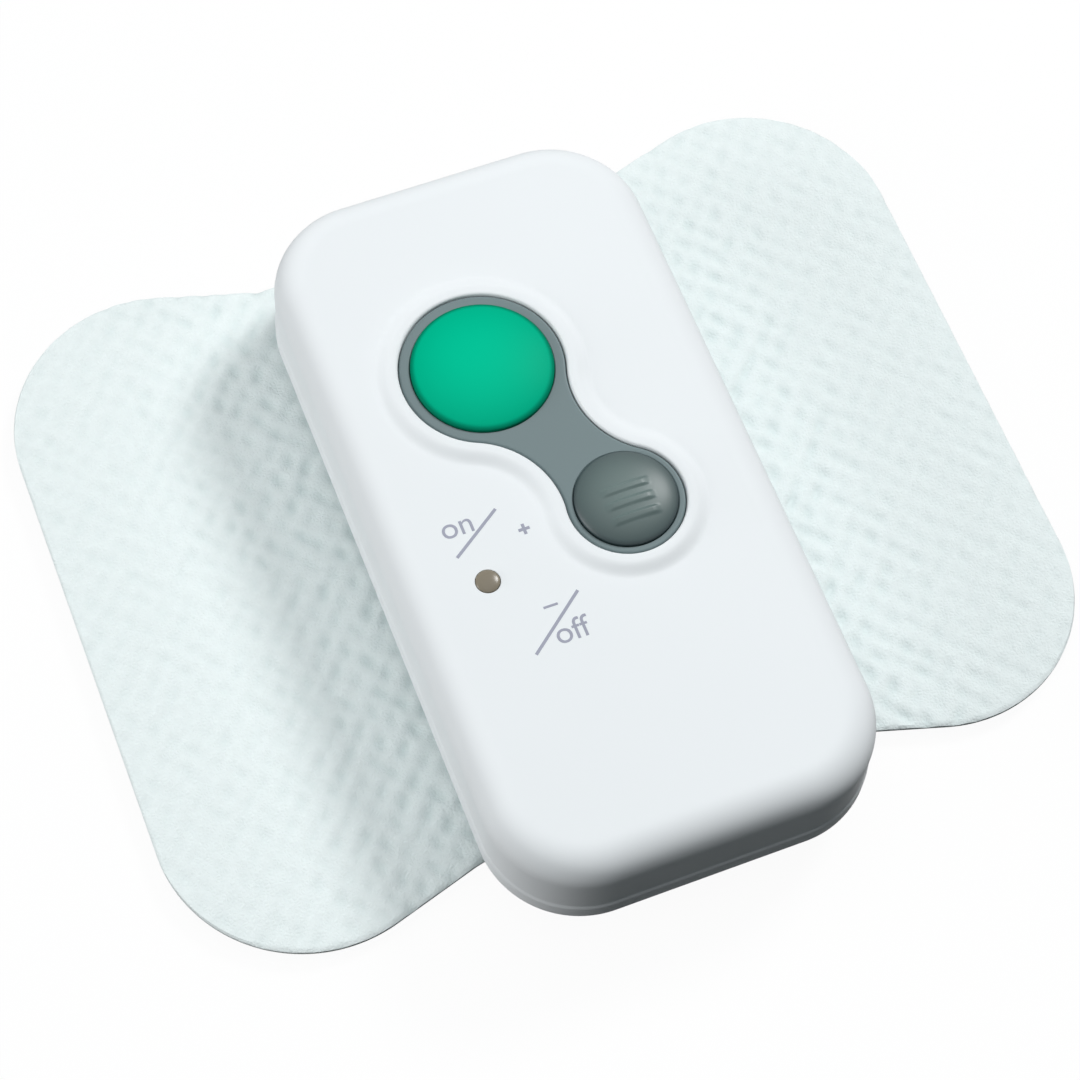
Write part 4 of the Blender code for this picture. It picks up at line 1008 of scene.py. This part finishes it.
def emboss(x, y):
    """How deep the embossing is: bell-shaped pits on a centred lattice, each a little out of place and shape.

    Every cell of the lattice draws its own shift, depth and turn from a seeded table.
    """
    chance = np.random.default_rng(EMBOSS_SEED)
    depth = np.zeros_like(x)
    for shift in (0.0, 0.5):
        column = np.round(x / EMBOSS_PITCH_X - shift).astype(int)
        row = np.round(y / EMBOSS_PITCH_Y - shift).astype(int)
        drawn = chance.uniform(-1, 1, (row.max() - row.min() + 1, column.max() - column.min() + 1, 4))
        drawn = drawn[row - row.min(), column - column.min()]
        across = x - (column + shift) * EMBOSS_PITCH_X - EMBOSS_STRAY * drawn[..., 0]
        along = y - (row + shift) * EMBOSS_PITCH_Y - EMBOSS_STRAY * drawn[..., 1]
        across = across - EMBOSS_SLANT * drawn[..., 3] * along
        bell = np.exp(-((across / EMBOSS_WIDTH) ** 2) - (along / EMBOSS_LENGTH) ** 2)
        depth += (1 + EMBOSS_UNEVEN * drawn[..., 2]) * bell
    return depth


def make_fabric():
    """The pad's fabric: columns at even steps of its edge, and rows at even shares of the edge's height.

    The top is pressed down by the embossing, deepest beside the case and flatter over the gel, and drops at
    the rim; the wall and underside close it.
    """
    spans = pad_edge_spans(0, 0)[1:]
    arcs = [abs(radius * (end - start)) for first, last, radius, start, end in spans]
    length = sum(arcs) + sum(math.dist(span[0], span[1]) for span in spans)
    half = walk(spans, np.linspace(0, 1, round(length / FABRIC_STEP)))[0]
    edge = np.concatenate([half[:-1] * (-1, 1), half[::-1]])
    reach = edge[:, 1]
    share = np.linspace(-1, 1, FABRIC_ROWS)
    x = np.broadcast_to(edge[:, 0], (FABRIC_ROWS, len(edge)))
    y = share[:, None] * reach
    nearest, furthest = EMBOSS_FADE
    nearness = np.clip((furthest - np.abs(x)) / (furthest - nearest), 0, 1)
    pit = emboss(x, y) * (EMBOSS_FAINTEST + (1 - EMBOSS_FAINTEST) * nearness)
    rim = np.minimum(pad_width / 2 - np.abs(x), (1 - np.abs(share))[:, None] * reach)
    drop = FABRIC_EDGE_DROP * (1 - np.clip(rim / FABRIC_EDGE, 0, 1)) ** 2
    top = np.stack([x, y, fabric_high.z - EMBOSS_DEPTH * pit - drop], axis=-1).reshape(-1, 3)
    rows, columns = x.shape
    index = np.arange(rows * columns).reshape(rows, columns)
    quads = np.stack([index[:-1, :-1], index[:-1, 1:], index[1:, 1:], index[1:, :-1]], axis=-1).reshape(-1, 4)
    border = np.concatenate([index[0, :-1], index[:-1, -1], index[-1, :0:-1], index[:0:-1, 0]])
    foot = top[border]
    foot[:, 2] = fabric_low.z
    low = np.arange(len(border)) + len(top)
    wall = np.stack([low, np.roll(low, -1), np.roll(border, -1), border], axis=-1)
    points = np.concatenate([top, foot]) + (*pad_middle, 0)
    mesh = mesh_from(points, np.concatenate([quads, wall]), [low[::-1]])
    # The pit depth also sets how much painted shade darkens the fabric
    noted(mesh, "pit", np.concatenate([pit.ravel(), np.zeros(len(foot))]))
    piece = show("fabric_sheet", mesh, nonwoven, "electrode_pad", "nonwoven", "pad_fabric")


def make_wings():
    """Under each wing, the gel, with soft rims and a pocket for the eyelet, and the thin carbon film."""
    for side, sign, place in (("left", -1, snap_places[0]), ("right", 1, snap_places[1])):
        low, high = heights(side + "_gel_pad")
        low_rim = bend(-GEL_LOW_ROUND, low + GEL_LOW_ROUND, GEL_LOW_ROUND, -90, 0, 4)
        high_rim = bend(-GEL_HIGH_ROUND, high - GEL_HIGH_ROUND, GEL_HIGH_ROUND, 0, 90, 3)
        profile = [(-2 * GEL_LOW_ROUND, low), *low_rim, *high_rim, (-GEL_LOW_ROUND - GEL_HIGH_ROUND, high)]
        pocket = peg(place, GEL_POCKET, heights(side + "_stud_eyelet")[0] - CLEAR, high + OVERRUN)
        mesh = shell(carry(wing_path(sign, GEL_MARGIN), profile))
        show(side + "_gel", worked(mesh, cut=[pocket]), gel, "electrode_pad", "gel", side + "_gel_pad")
        low, high = heights(side + "_carbon_film")
        mesh = shell(carry(wing_path(sign, FILM_MARGIN), [(0, low), (0, high)]))
        show(side + "_film", mesh, carbon_film, "electrode_pad", "carbon_film", side + "_carbon_film")


def printed(name, words, place):
    """Lettering printed on the roof: type made a thin mesh, centred on a place of the case."""
    type_curve = bpy.data.curves.new(name, "FONT")
    type_curve.body = words
    type_curve.size = LETTER_SIZE
    type_curve.align_x = "CENTER"
    type_curve.align_y = "CENTER"
    type_curve.extrude = INK_RISE
    holder = bpy.data.objects.new(name, type_curve)
    scene.collection.objects.link(holder)
    bpy.context.view_layer.update()
    mesh = bpy.data.meshes.new_from_object(holder.evaluated_get(bpy.context.evaluated_depsgraph_get()))
    bpy.data.objects.remove(holder)
    mesh.transform(Matrix.Translation((*(case_middle + place), case_top)))
    show(name, mesh, ink, "controller", "grey_bezel")


def mark(name, outline):
    """A flat shape printed on the roof, from its outline on the case."""
    mesh = prism(case_middle + outline, case_top - INK_RISE, case_top + INK_RISE)
    show(name, mesh, ink, "controller", "grey_bezel")


def stroke(name, start, end, width):
    """A straight stroke printed on the roof, from one place of the case to another."""
    start = np.array(start)
    end = np.array(end)
    along = (end - start) / np.linalg.norm(end - start)
    aside = np.array([-along[1], along[0]]) * width / 2
    mark(name, np.array([start - aside, end - aside, end + aside, start + aside]))


def plus(name, place, span, width):
    """A plus sign printed on the roof: an outline of twelve corners, a quarter of it turned four times."""
    a = span / 2
    b = width / 2
    quarter = np.array([(a, -b), (a, b), (b, b)])
    turn = np.array([(0, 1), (-1, 0)])
    mark(name, np.concatenate([quarter @ np.linalg.matrix_power(turn, step) for step in range(4)]) + place)


def make_prints():
    """The marks by the buttons: on and plus by the lamp, minus and off below."""
    printed("mark_on", "on", (-0.0112, -0.0006))
    stroke("mark_slash_on", (-0.0123, -0.0036), (-0.0072, -0.0001), INK_STROKE)
    plus("mark_plus", (-0.00545, -0.00296), 0.0011, INK_STROKE)
    stroke("mark_minus", (-0.0067, -0.0111), (-0.0053, -0.0111), INK_STROKE * 0.8)
    stroke("mark_slash_off", (-0.0090, -0.0152), (-0.0031, -0.0105), INK_STROKE)
    printed("mark_off", "off", (-0.0051, -0.0141))


def finish_inside():
    """Finishes of the solids that stay: what is closed up in the controller."""
    finishes = [
        (lamp_resin, ["led", "increase_plunger", "decrease_plunger"]),
        (board, ["circuit_board"]),
        (black_resin, ["increase_switch", "decrease_switch", "microcontroller"]),
        (black_resin, ["left_output_transistor", "right_output_transistor"]),
        (can, ["quartz_crystal", "output_capacitor"]),
        (ferrite, ["coil_core"]),
        (copper, ["coil_winding"]),
        (cell_steel, ["coin_cell"]),
        (spring_steel, ["positive_contact", "negative_contact"]),
        (spring_steel, ["left_terminal_spring", "right_terminal_spring"]),
    ]
    for material, nodes in finishes:
        for node in nodes:
            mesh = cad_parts[node].data
            mesh.materials.clear()
            mesh.materials.append(material)


def seen_ray(tree):
    """1 for rays from the camera, of a reflection or through glass, and 0 for rays that carry soft light."""
    rays = tree.nodes.new("ShaderNodeLightPath").outputs
    seen = worked_out(tree, "MAXIMUM", rays["Is Camera Ray"], rays["Is Glossy Ray"])
    return worked_out(tree, "MAXIMUM", seen, rays["Is Transmission Ray"])


def make_world():
    """White where it is seen; as light, a cool sky that is bright overhead and dark low down."""
    world = bpy.data.worlds.new("studio")
    scene.world = world
    world.use_nodes = True
    tree = world.node_tree
    tree.nodes.clear()
    direction = tree.nodes.new("ShaderNodeTexCoord").outputs["Generated"]
    lean = shader_node(tree, "ShaderNodeVectorMath", [(0, direction), (1, SKY_FROM)], operation="DOT_PRODUCT")
    fed = [("Value", lean.outputs["Value"]), ("From Min", SKY_EDGE[0]), ("From Max", SKY_EDGE[1])]
    share = shader_node(tree, "ShaderNodeMapRange", fed).outputs[0]
    colour = mixed(tree, seen_ray(tree), mixed(tree, share, SKY_DARK, SKY_LIGHT), WHITE)
    light = shader_node(tree, "ShaderNodeBackground", [("Color", colour)])
    shader_node(tree, "ShaderNodeOutputWorld", [("Surface", light.outputs[0])])


def make_floor():
    """A white table that keeps a soft shadow where it is seen, and throws little light back up."""
    material = bpy.data.materials.new("white_table")
    material.use_nodes = True
    tree = material.node_tree
    tree.nodes.clear()
    seen = seen_ray(tree)
    matt = shader_node(tree, "ShaderNodeBsdfDiffuse", [("Color", mixed(tree, seen, TABLE_LIT, TABLE_SEEN))])
    glow = shader_node(tree, "ShaderNodeEmission")
    share = worked_out(tree, "MULTIPLY", seen, TABLE_GLOW)
    mix = shader_node(tree, "ShaderNodeMixShader", [(0, share), (1, matt.outputs[0]), (2, glow.outputs[0])])
    shader_node(tree, "ShaderNodeOutputMaterial", [("Surface", mix.outputs[0])])
    half = TABLE_SPAN / 2
    corners = np.array([(-half, -half), (half, -half), (half, half), (-half, half)])
    points = np.column_stack([corners, np.full(4, solid_low.z - TABLE_DROP)])
    mesh = mesh_from(points, np.array([[0, 1, 2, 3]]))
    mesh.materials.append(material)
    table = bpy.data.objects.new("table", mesh)
    scene.collection.objects.link(table)


def make_soft_box(name, place, power, width):
    """A round soft box that faces the object."""
    lamp = bpy.data.lights.new(name, "AREA")
    lamp.shape = "DISK"
    lamp.size = width
    lamp.energy = power
    holder = bpy.data.objects.new(name, lamp)
    holder.location = place
    holder.rotation_euler = place.to_track_quat("Z", "Y").to_euler()
    scene.collection.objects.link(holder)


make_camera()
make_wings()
make_fabric()
make_studs()
make_bottom_cover()
make_top_cover()
make_door()
make_screws()
make_bezel()
make_green_button()
make_grey_button()
make_lens()
make_prints()
finish_inside()
make_world()
make_floor()
make_soft_box("key_light", KEY_PLACE, KEY_POWER, KEY_WIDTH)
make_soft_box("fill_light", FILL_PLACE, FILL_POWER, FILL_WIDTH)
scene.view_settings.view_transform = "Standard"
